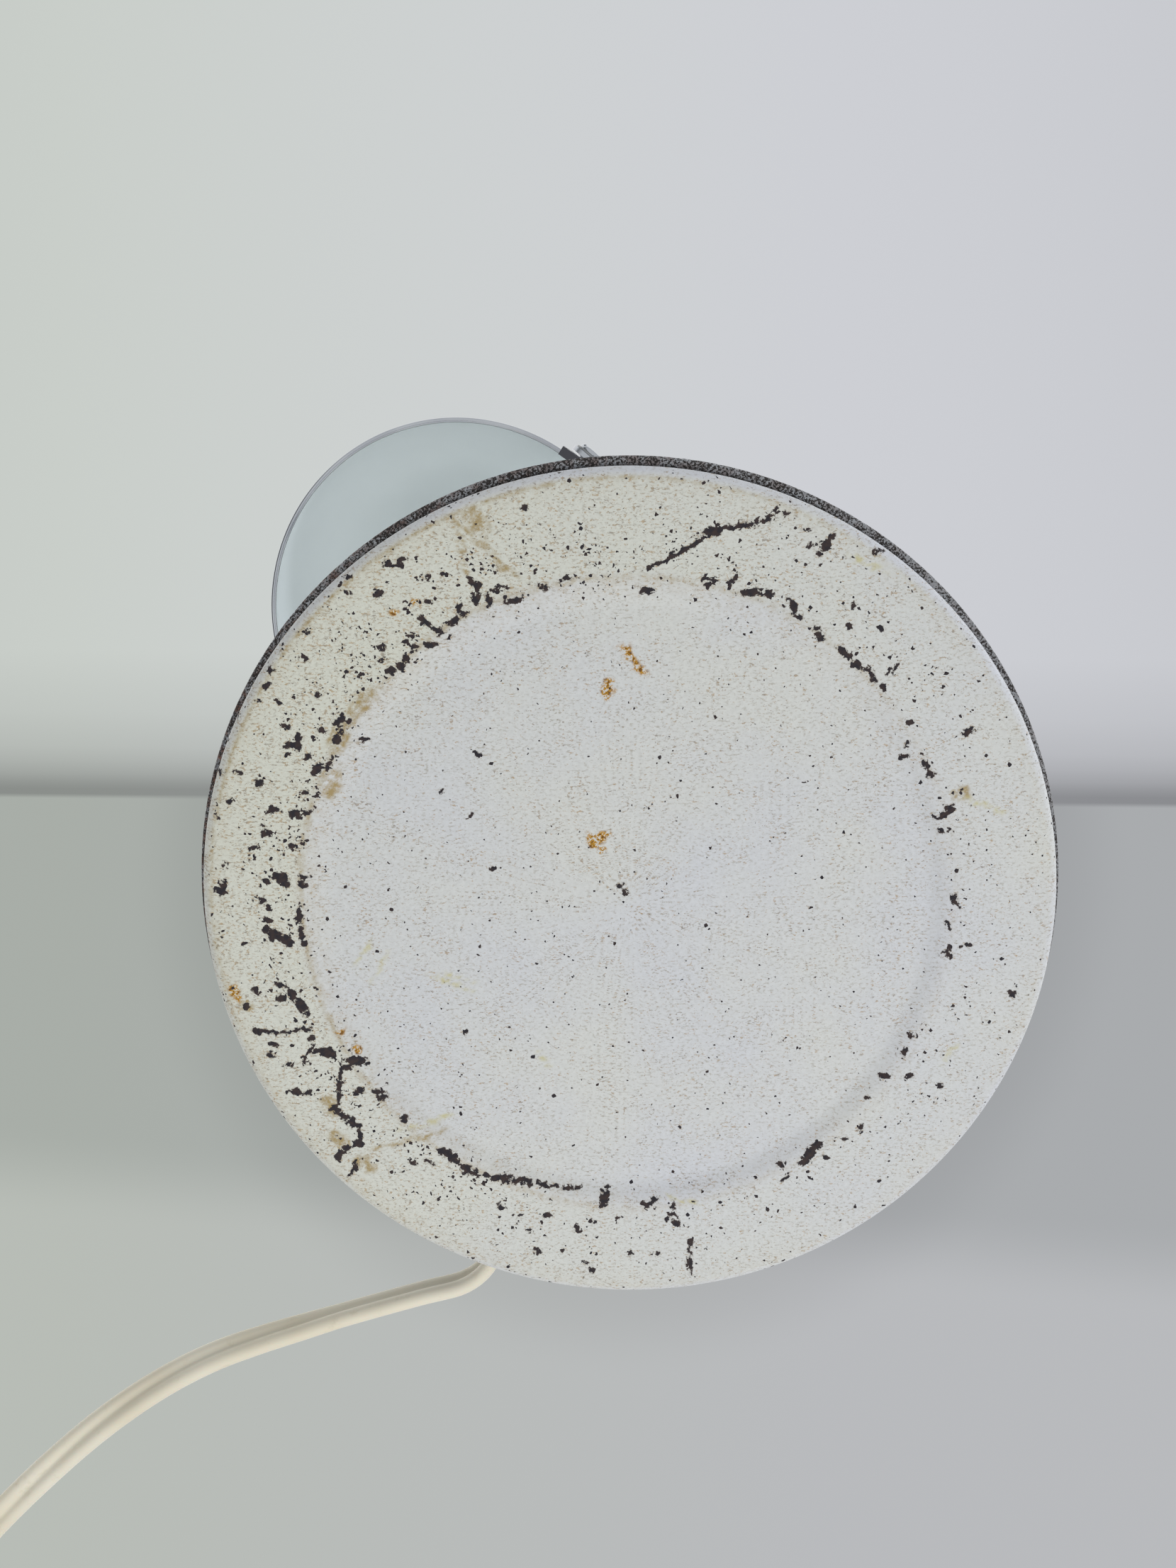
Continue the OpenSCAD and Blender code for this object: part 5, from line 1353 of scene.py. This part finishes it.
@dataclass
class Base:
    """The weighted base: its pan, spun cover, cord bushing, collar and press switch."""

    cover_r: float = 77.0
    hem_in_r: float = 75.1
    hem_t: float = 1.9
    hem_z: float = 6.0
    hem_h: float = 3.4
    groove: float = 0.16
    sheet: float = 1.0
    skirt_z: float = 20.0
    flat_r: float = 58.0
    height: float = 32.0
    stem_r: float = 5.05
    outlet_az: float = 158.0
    outlet_z: float = 14.0
    bushing_r: float = 4.2
    switch_y: float = -46.0
    switch_r: float = 5.1

    def cover(self, bench: Bench) -> None:
        """Spin the cover with its rolled hem, and cut its two holes."""
        hem = arc((self.hem_in_r + self.hem_t / 2, self.hem_z + self.hem_t / 2), self.hem_t / 2, 180, 360, 12)
        hem_top, waist = self.hem_z + self.hem_h, self.cover_r - self.groove
        roll = [
            (self.cover_r, self.hem_z + 2.4), (self.cover_r, self.hem_z + 3.0), (waist, hem_top),
            (waist, hem_top + 0.35), (self.cover_r, hem_top + 0.8),
        ]
        across, up = self.cover_r - self.flat_r, self.height - self.skirt_z
        outer = bow((self.flat_r, self.skirt_z), across, up, 28)
        inner = bow((self.flat_r, self.skirt_z), across - self.sheet, up - self.sheet, 20)
        top = [(r, self.height) for r in (54, 46, 34, 22, 12)]
        profile = hem + roll + [(self.cover_r, 12.0), (self.cover_r, 16.0)] + outer + top
        profile += [(self.stem_r, self.height), (self.stem_r, self.height - self.sheet)] + inner[::-1]
        profile += [(self.cover_r - self.sheet, self.hem_z + 4.4), (self.hem_in_r, hem_top)]
        cover = bench.set_down(
            "chromed_cover", turned(profile, 192, closed=True), [PittedChrome()], Body.BASE, ["base_cover"],
            sharp=50,
        )
        outlet = (turn(self.outlet_az, "Z"), shift(75, 0, self.outlet_z), turn(90, "Y"))
        press = (shift(0, self.switch_y, 31),)
        for radius, deep, way in ((self.bushing_r, 9, outlet), (self.switch_r, 8, press)):
            hole = bmesh.new()
            bmesh.ops.create_cone(
                hole, cap_ends=True, segments=48, radius1=radius * MM, radius2=radius * MM, depth=deep * MM
            )
            bench.carve(cover, place(hole, *way))

    def build(self, bench: Bench) -> None:
        """Build and dress the whole base."""
        BottomPan().build(bench)
        self.cover(bench)
        bench.refine_each(
            (CHROME, 0.12, 2, "switch_nut"), (BAKELITE, 0.3, 2, "switch_body"),
            (BAKELITE, 0.15, 2, "switch_button cord_bushing"), (CHROME, 0.15, 2, "stem_collar"),
            (CAST_IRON, 0.8, 2, "iron_weight"), (ZINC, 0.3, 2, "cord_clamp clamp_screws stem_nut"),
            (ZINC, 0.15, 2, "stem_washer"),
        )
        for node in ("stem_lead", "switch_lead"):
            bench.paint(node, IVORY_VINYL)


@dataclass
class Stem:
    """The straight stem and its turned head."""

    def build(self, bench: Bench) -> None:
        """Dress the stem."""
        bench.refine_each((CHROME, 0.15, 2, "stem_tube stem_head"), (FIBRE, 0.12, 2, "lower_washer"))


@dataclass
class YokeArm:
    """The swivel hub, the half-ring yoke, its clips and the lead they hold."""

    neck_top: float = 182.1
    exit_z: float = 187.5
    hub_r: float = 7.6
    lead_ring: float = 64.408

    def along_yoke(self, degrees: float, z: float) -> Triple:
        """Give a point beside the strip at an angle from the hub."""
        a = math.radians(degrees)
        return (-self.lead_ring * math.sin(a), SHADE_Y + self.lead_ring * math.cos(a), z)

    def lead_points(self) -> list[Triple]:
        """Give the route of the lead from the stem's top to the left pivot."""
        low = YOKE_Z - 1.4
        bow_x = TUBE_X + 5
        points = [
            (0, 0, self.neck_top + 0.3), (0, 0, self.exit_z - 5), (-0.7, 0, self.exit_z - 2.5),
            (-2.5, 0, self.exit_z - 0.7), (-5, 0, self.exit_z), (-self.hub_r - 0.6, 0, self.exit_z),
            (-self.hub_r - 4, -0.6, self.exit_z - 1.2),
            self.along_yoke(14.5, low + 12), self.along_yoke(19, low + 6.6), self.along_yoke(24, low + 2.4),
            self.along_yoke(29, low + 0.4),
        ]
        points += [self.along_yoke(a, low) for a in range(35, 76, 5)]
        points += [
            (-bow_x + 2.4, SHADE_Y + 10.5, low), (-bow_x - 0.2, SHADE_Y + 6.8, YOKE_Z - 0.9),
            (-bow_x - 0.6, SHADE_Y + 3.2, YOKE_Z - 0.3), (-bow_x + 0.9, SHADE_Y + 0.9, YOKE_Z),
            (-TUBE_X - 1.8, SHADE_Y, YOKE_Z), (-TUBE_X + 1.5, SHADE_Y, YOKE_Z),
        ]
        return points

    def build(self, bench: Bench) -> None:
        """Dress the yoke and everything on it."""
        bench.refine_each(
            (CHROME, 0.3, 3, "swivel_hub"), (CHROME, 0.15, 2, "hub_cap"), (CHROME, 0.3, 3, "yoke"),
            (ZINC, 0.1, 2, "yoke_screws"), (BAKELITE, 0.15, 2, "lead_clips"), (ZINC, 0.25, 3, "clip_rivets"),
            (FIBRE, 0.1, 2, "upper_washer"), (ZINC, 0.3, 2, "swivel_nut"),
        )
        InnerLead("yoke_lead", "arm_lead", self.lead_points()).build(bench)


@dataclass
class LampHead:
    """The dome shade with its bead and vents, the rear neck, pivots, grips, lampholder and bulb."""

    dome_r: float = 58.0
    sheet: float = 0.8
    rim_z: float = 165.0
    bead_rr: float = 57.45
    bead_r: float = 0.75
    crown_r: float = 20.0
    vent_count: int = 12
    vent_r: float = 2.5
    vent_ring_r: float = 27.0
    around: int = 96
    cleared: Pair = (3.55, 3.85)
    slot_turn: float = 35.0
    holder_r: float = 13.0
    strip_out_r: float = 61.508
    entry_z: float = 214.94

    def dome(self, bench: Bench) -> None:
        """Spin the dome, punch its vents and give it its wall, white inside."""
        crown = math.degrees(math.asin(self.crown_r / self.dome_r))
        vent = math.degrees(math.asin(self.vent_ring_r / self.dome_r))
        polar = [crown + (vent - crown) * i / 4 for i in range(4)]
        polar += [vent + (90 - vent) * i / 33 for i in range(34)]
        profile = [(self.holder_r + 0.3, self.dome_r * math.cos(math.radians(crown)))]
        profile += [(16.5, profile[0][1])]
        leans = [math.radians(p) for p in polar]
        profile += [(self.dome_r * math.sin(t), self.dome_r * math.cos(t)) for t in leans]
        low = self.rim_z + 2 * self.bead_r - YOKE_Z
        profile += [(self.dome_r, low / 2), (self.dome_r, low)]
        bm = turned(profile, self.around)
        top = max(bm.faces, key=lambda f: f.calc_center_median().z)
        if top.normal.z < 0:
            bmesh.ops.reverse_faces(bm, faces=bm.faces)
        for i in range(self.vent_count):
            self.punch(bm, 360 * (i + 0.5) / self.vent_count, vent)
        place(bm, shift(0, SHADE_Y, YOKE_Z))
        shade = bench.set_down("dome_shade", bm, [CHROME, MATT_WHITE], Body.HEAD, ["shade"], sharp=60)
        wall = shade.modifiers.new("sheet", "SOLIDIFY")
        wall.thickness = self.sheet * MM
        wall.offset = -1
        wall.material_offset = 1
        wall.material_offset_rim = 0
        curl = arc((self.bead_rr, self.rim_z + self.bead_r), self.bead_r, 0, 337.5, 15)
        bead = turned(curl, 192, closed=True)
        bench.set_down("rolled_bead", place(bead, shift(0, SHADE_Y, 0)), [CHROME], Body.HEAD, ["shade"])

    def punch(self, bm: bmesh.types.BMesh, azimuth: float, polar: float) -> None:
        """Punch one round vent out of the dome.

        Args:
            bm: the dome's mesh about its own centre.
            azimuth: the vent's bearing in degrees.
            polar: its angle from the dome's axis in degrees.
        """
        out = Vector((1, 0, 0))
        out.rotate(Matrix.Rotation(math.radians(polar - 90), 3, "Y"))
        out.rotate(Matrix.Rotation(math.radians(azimuth), 3, "Z"))
        side = Vector((0, 0, 1)).cross(out).normalized()
        down = out.cross(side)
        centre = out * self.dome_r * MM

        def local(point: Vector) -> tuple[float, float]:
            """Give a point's place across the vent in millimetres."""
            d = (point - centre) / MM
            return d.dot(side), d.dot(down)

        gone = []
        for face in bm.faces:
            mid = face.calc_center_median()
            u, v = local(mid)
            if abs(u) < self.cleared[0] and abs(v) < self.cleared[1] and mid.dot(out) > 0:
                gone.append(face)
        border = {e for f in gone for e in f.edges if sum(g in gone for g in e.link_faces) == 1}
        rim = {v for e in border for v in e.verts}
        bmesh.ops.delete(bm, geom=gone, context="FACES")
        for vert in rim:
            u, v = local(vert.co)
            a = math.atan2(v, u)
            spot = out * self.dome_r + (side * math.cos(a) + down * math.sin(a)) * self.vent_r
            vert.co = spot.normalized() * self.dome_r * MM

    def fittings(self, bench: Bench) -> None:
        """Dress the pivots, grips, knob and rear neck."""
        screw = bench.refine("pivot_screw", CHROME, 0.1)
        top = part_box("pivot_screw")[1][0] / MM
        slot = place(block((1.2, 12, 0.9)), shift(top, SHADE_Y, YOKE_Z), turn(self.slot_turn, "X"))
        bench.carve(screw, slot)
        bench.refine_each(
            (ZINC, 0.12, 2, "pivot_washers pivot_nut pivot_tube pivot_ring"),
            (BAKELITE, 0.15, 2, "tilt_knob"),
            (BAKELITE, 0.35, 3, "rim_grip_right rim_grip_left shade_ring neck_cap"),
            (CHROME, 0.12, 2, "neck_cup"),
        )

    def lamp(self, bench: Bench) -> None:
        """Dress the lampholder, the bulb and the lead that reaches them."""
        bench.refine_each(
            (BAKELITE, 0.3, 2, "holder_body"), (BRASS, 0.1, 2, "holder_sleeve"),
            (BRASS, 0.3, 2, "holder_contact"), (BRASS, 0.2, 2, "bulb_cap"),
            (OPAL_GLASS, 0.1, 2, "bulb_glass"),
        )
        y, z, r = SHADE_Y, YOKE_Z, self.dome_r - self.sheet
        points = [
            (-TUBE_X + 2, y, z), (-self.strip_out_r + 3, y, z), (-r + 7, y, z), (-r + 9.8, y, z + 1.6),
            (-r + 11.4, y, z + 4.8), (-r + 12, y, z + 10), (-r + 14.5, y, z + 19), (-r + 20, y, z + 29),
            (-r + 28, y, self.entry_z - 4.6), (-r + 34, y, self.entry_z - 1.3), (-17, y, self.entry_z),
            (-9.4, y, self.entry_z),
        ]
        InnerLead("holder_lead", "shade_lead", points).build(bench)

    def build(self, bench: Bench) -> None:
        """Build and dress the whole head."""
        self.dome(bench)
        self.fittings(bench)
        self.lamp(bench)


# --- the studio ------------------------------------------------------------


@dataclass
class Studio:
    """A pale floor, a pale backdrop, soft lamps and the camera."""

    floor: str = "#C9CBCC"
    floor_cloud: str = "#C5C7C8"
    wall: str = "#D4D4D5"
    table: str = "#AEAFAE"
    front: str = "#BEBEBD"
    seam: str = "#8F9290"
    green_side: str = "#F7FDF6"
    blue_side: str = "#F8FAFF"
    dark: str = "#26292B"
    even_light: str = "#F7FAFF"
    middle: Triple = (0.0, -0.03, 0.08)
    ambient: float = 0.58
    lens: float = 27.049
    eye: Triple = (0.044411, -0.039547, -0.198191)
    view_x: Triple = (0.6512, 0.7584, 0.02776)
    view_y: Triple = (0.74215, -0.64403, 0.18558)
    view_z: Triple = (0.15862, -0.10024, -0.98224)

    def camera(self) -> None:
        """Set the camera under the lamp, looking up at its base."""
        data = bpy.data.cameras.new("camera")
        data.lens = self.lens
        data.sensor_width = 36.0
        data.sensor_fit = "AUTO"
        data.clip_start = 0.01
        camera = add_object("camera", data)
        x, y, z = (Vector(v).normalized() for v in (self.view_x, self.view_y, self.view_z))
        turned_to = Matrix((x, y, z)).transposed().to_4x4()
        camera.matrix_world = Matrix.Translation(Vector(self.eye)) @ turned_to
        bpy.context.scene.camera = camera

    def ground(self) -> None:
        """Lay a floor just under the lamp, open from below so that the underside shows and is lit."""
        bm = bmesh.new()
        bmesh.ops.create_circle(bm, cap_ends=True, segments=96, radius=3.0)
        place(bm, shift(0, 0, -0.3))
        mesh = as_mesh("studio_floor", bm)
        material = blank_material("painted_studio_floor")
        tree = material.node_tree
        spot = add_node(tree, "TexCoord", out="Object")
        cloud = add_node(tree, "TexNoise", {"Vector": spot, "Scale": 2.0, "Detail": 2.0})
        colour = add_node(tree, "Mix", {0: cloud, 6: self.floor, 7: self.floor_cloud}, **RGBA)
        paint = {"Base Color": colour, "Roughness": 0.7, "Specular IOR Level": 0.2}
        solid = add_node(tree, "BsdfPrincipled", paint)
        clear = add_node(tree, "BsdfTransparent")
        below = add_node(tree, "NewGeometry", out="Backfacing")
        surface = add_node(tree, "MixShader", {0: below, 1: solid, 2: clear})
        add_node(tree, "OutputMaterial", {"Surface": surface})
        mesh.materials.append(material)
        floor = add_object("studio_floor", mesh)
        for ray in ("shadow", "diffuse", "glossy", "transmission"):
            setattr(floor, "visible_" + ray, False)

    def lamp(self, name: str, at: Sequence[float], size: float, power: float, colour: str) -> None:
        """Hang one soft square lamp that faces the object.

        Args:
            name: the lamp's name.
            at: its place in metres.
            size: its width in metres.
            power: its power in watts.
            colour: its colour.
        """
        data = bpy.data.lights.new(name, "AREA")
        data.shape = "SQUARE"
        data.size = size
        data.energy = power
        data.color = tint(colour)[:3]
        self.hang(data, at, self.middle)

    def snoot(
        self,
        name: str,
        at: Sequence[float],
        towards: Sequence[float],
        degrees: float,
        power: float,
        colour: str,
    ) -> None:
        """Hang one soft lamp whose light a snoot keeps to a cone.

        Args:
            name: the lamp's name.
            at: its place in metres.
            towards: the point that it faces.
            degrees: the cone's whole angle.
            power: its power in watts.
            colour: its colour.
        """
        data = bpy.data.lights.new(name, "SPOT")
        data.energy = power
        data.spot_size = math.radians(degrees)
        data.spot_blend = 0.8
        data.shadow_soft_size = 0.06
        data.color = tint(colour)[:3]
        self.hang(data, at, towards)

    def hang(self, data: bpy.types.Light, at: Sequence[float], towards: Sequence[float]) -> None:
        """Hang a light that metal doesn't mirror.

        Args:
            data: the light.
            at: its place in metres.
            towards: the point that it faces.
        """
        lamp = add_object(data.name, data)
        lamp.visible_glossy = False
        lamp.location = Vector(at)
        lamp.rotation_euler = (Vector(towards) - Vector(at)).to_track_quat("-Z", "Y").to_euler()

    def sky(self) -> None:
        """Paint the pale backdrop that the eye and the metal see, and the even light on the surfaces."""
        world = bpy.data.worlds.new("studio")
        bpy.context.scene.world = world
        world.use_nodes = True
        tree = world.node_tree
        tree.nodes.clear()
        way = add_node(tree, "TexCoord", out="Generated")
        right, up, back = (Vector(v).normalized() for v in (self.view_x, self.view_y, self.view_z))
        ahead = add_node(tree, "VectorMath", {0: way, 1: back * -1}, **DOT)
        safe = add_node(tree, "Math", {0: ahead, 1: 0.05}, operation="MAXIMUM")
        down = add_node(tree, "VectorMath", {0: way, 1: up * -1}, **DOT)
        down = add_node(tree, "Math", {0: down, 1: safe}, operation="DIVIDE")
        side = add_node(tree, "VectorMath", {0: way, 1: right}, **DOT)
        side = add_node(tree, "Math", {0: side, 1: safe}, operation="DIVIDE")
        # The wall, darker in its corners, sinks into a soft shadow where the table meets it.
        level = add_node(tree, "Math", {0: side, 1: -0.009, 2: down}, operation="MULTIPLY_ADD")
        level = add_node(tree, "MapRange", {"Value": level, "From": (-0.11, 0.04)})
        stops = (
            (0.0, "#FFFFFF"), (0.35, "#F4F4F4"), (0.543, "#E8E8E8"), (0.629, "#DCDCDC"), (0.7, "#CDCDCD"),
            (0.75, "#BCBCBC"), (0.785, "#B2B2B2"), (1.0, "#B2B2B2"),
        )
        shade = add_node(tree, "ValToRGB", {0: level}, out="Color", stops=stops)
        bowed = add_node(tree, "Math", {0: side, 1: side}, operation="MULTIPLY")
        bowed = add_node(tree, "MapRange", {"Value": bowed, "From": (0.0, 0.3), "To": (1.0, 0.93)})
        wall = add_node(tree, "VectorMath", {0: tint(self.wall)[:3], 1: shade}, operation="MULTIPLY")
        wall = add_node(tree, "VectorMath", {0: wall, 1: bowed}, operation="MULTIPLY")
        # Painted light: the table gets lighter towards the front, past a soft line that runs a little askew.
        near = add_node(tree, "Math", {0: side, 1: -0.085, 2: down}, operation="MULTIPLY_ADD")
        near = add_node(tree, "MapRange", {"Value": near, "From": (0.33, 0.41)}, **EASED)
        table = add_node(tree, "Mix", {0: near, 6: self.table, 7: self.front}, **RGBA)
        # The shadow of the base on the table is a soft ring.
        off = add_node(tree, "CombineXYZ", {"X": side, "Y": down})
        middle = {0: off, 1: (0.035, 0.0753, 0.0)}
        off = add_node(tree, "VectorMath", middle, out="Value", operation="DISTANCE")
        cast = add_node(
            tree, "MapRange", {"Value": off, "From": (0.35, 0.43), "To": (0.9, 1.0)},
            **EASED,
        )
        table = add_node(tree, "VectorMath", {0: table, 1: cast}, operation="MULTIPLY")
        edge = add_node(tree, "MapRange", {"Value": level, "From": (0.815, 0.84)})
        colour = add_node(tree, "Mix", {0: edge, 6: wall, 7: table}, **RGBA)
        hue = add_node(tree, "MapRange", {"Value": side, "From": (-0.45, 0.2)})
        hue = add_node(tree, "Mix", {0: hue, 6: self.green_side, 7: self.blue_side}, **RGBA)
        colour = add_node(tree, "VectorMath", {0: colour, 1: hue}, operation="MULTIPLY")
        # All round the rest of the room it is one pale tone with a darker band at the horizon.
        lean = add_node(tree, "SeparateXYZ", {0: way}, out="Z")
        band = add_node(tree, "Math", {0: lean}, operation="ABSOLUTE")
        band = add_node(tree, "MapRange", {"Value": band, "From": (0.02, 0.22), "To": (0.55, 0.0)})
        room = add_node(tree, "Mix", {0: band, 6: self.wall, 7: self.seam}, **RGBA)
        cone = add_node(tree, "MapRange", {"Value": ahead, "From": (0.6, 0.76)}, **EASED)
        colour = add_node(tree, "Mix", {0: cone, 6: room, 7: colour}, **RGBA)
        # Metal sees a pale room with a dark doorway to one side and a dark strip at floor level.
        floor = add_node(tree, "MapRange", {"Value": lean, "From": (-0.35, 0.5)})
        stops = (
            (0.0, "#D2D4D6"), (0.3, "#BFC2C4"), (0.4, "#7C7F82"), (0.46, "#C4C7CA"), (0.7, "#DFE1E3"),
            (1.0, "#F2F3F4"),
        )
        mirror = add_node(tree, "ValToRGB", {0: floor}, out="Color", stops=stops)
        door = add_node(tree, "VectorMath", {0: way, 1: (-0.62, -0.78, 0.0)}, **DOT)
        door = add_node(
            tree, "MapRange", {"Value": door, "From": (0.6, 0.9), "To": (0.0, 0.9)}, **EASED
        )
        lintel = add_node(
            tree, "MapRange", {"Value": lean, "From": (0.12, 0.32), "To": (1.0, 0.0)},
            **EASED,
        )
        door = add_node(tree, "Math", {0: door, 1: lintel}, operation="MULTIPLY")
        mirror = add_node(tree, "Mix", {0: door, 6: mirror, 7: self.dark}, **RGBA)
        shine = add_node(tree, "LightPath", out="Is Glossy Ray")
        colour = add_node(tree, "Mix", {0: shine, 6: colour, 7: mirror}, **RGBA)
        names = ("Is Camera Ray", "Is Glossy Ray", "Is Transmission Ray")
        rays = [add_node(tree, "LightPath", out=name) for name in names]
        seen = add_node(tree, "Math", {0: rays[0], 1: rays[1]}, operation="MAXIMUM")
        seen = add_node(tree, "Math", {0: seen, 1: rays[2]}, operation="MAXIMUM")
        light = add_node(tree, "Background", {"Color": self.even_light, "Strength": self.ambient})
        back = add_node(tree, "Background", {"Color": colour, "Strength": 1.0})
        surface = add_node(tree, "MixShader", {0: seen, 1: light, 2: back})
        add_node(tree, "OutputWorld", {"Surface": surface})

    def light(self) -> None:
        """Set the view transform, the lamps and the backdrop."""
        bpy.context.scene.view_settings.view_transform = "Standard"
        self.sky()
        self.ground()
        self.lamp("key_above", (-0.55, -0.75, 0.95), 0.7, 6.0, "#FFFDF8")
        self.lamp("fill_behind", (0.8, 0.55, 0.5), 0.6, 4.0, "#F4F8FF")
        self.snoot("edge_light", (0.95, 0.1, 0.02), self.middle, 34.0, 7.0, "#F6F8FF")
        self.lamp("soft_below", (-0.12, 0.31, -0.6), 0.8, 2.95, "#FFFEFC")
        self.snoot("shade_light", (-0.05, -0.45, -0.35), (0.0, -0.09, 0.2), 17.0, 4.5, "#F8FEFF")


def main() -> None:
    """Build the studio, then the lamp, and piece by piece."""
    logging.basicConfig(level=logging.INFO, format="%(message)s")
    studio = Studio()
    studio.camera()
    bench = Bench()
    MainsLead().build(bench)
    for assembly in (Base(), Stem(), YokeArm(), LampHead()):
        assembly.build(bench)
        log.info("%s: done", type(assembly).__name__)
    studio.light()


if __name__ == "__main__":
    main()
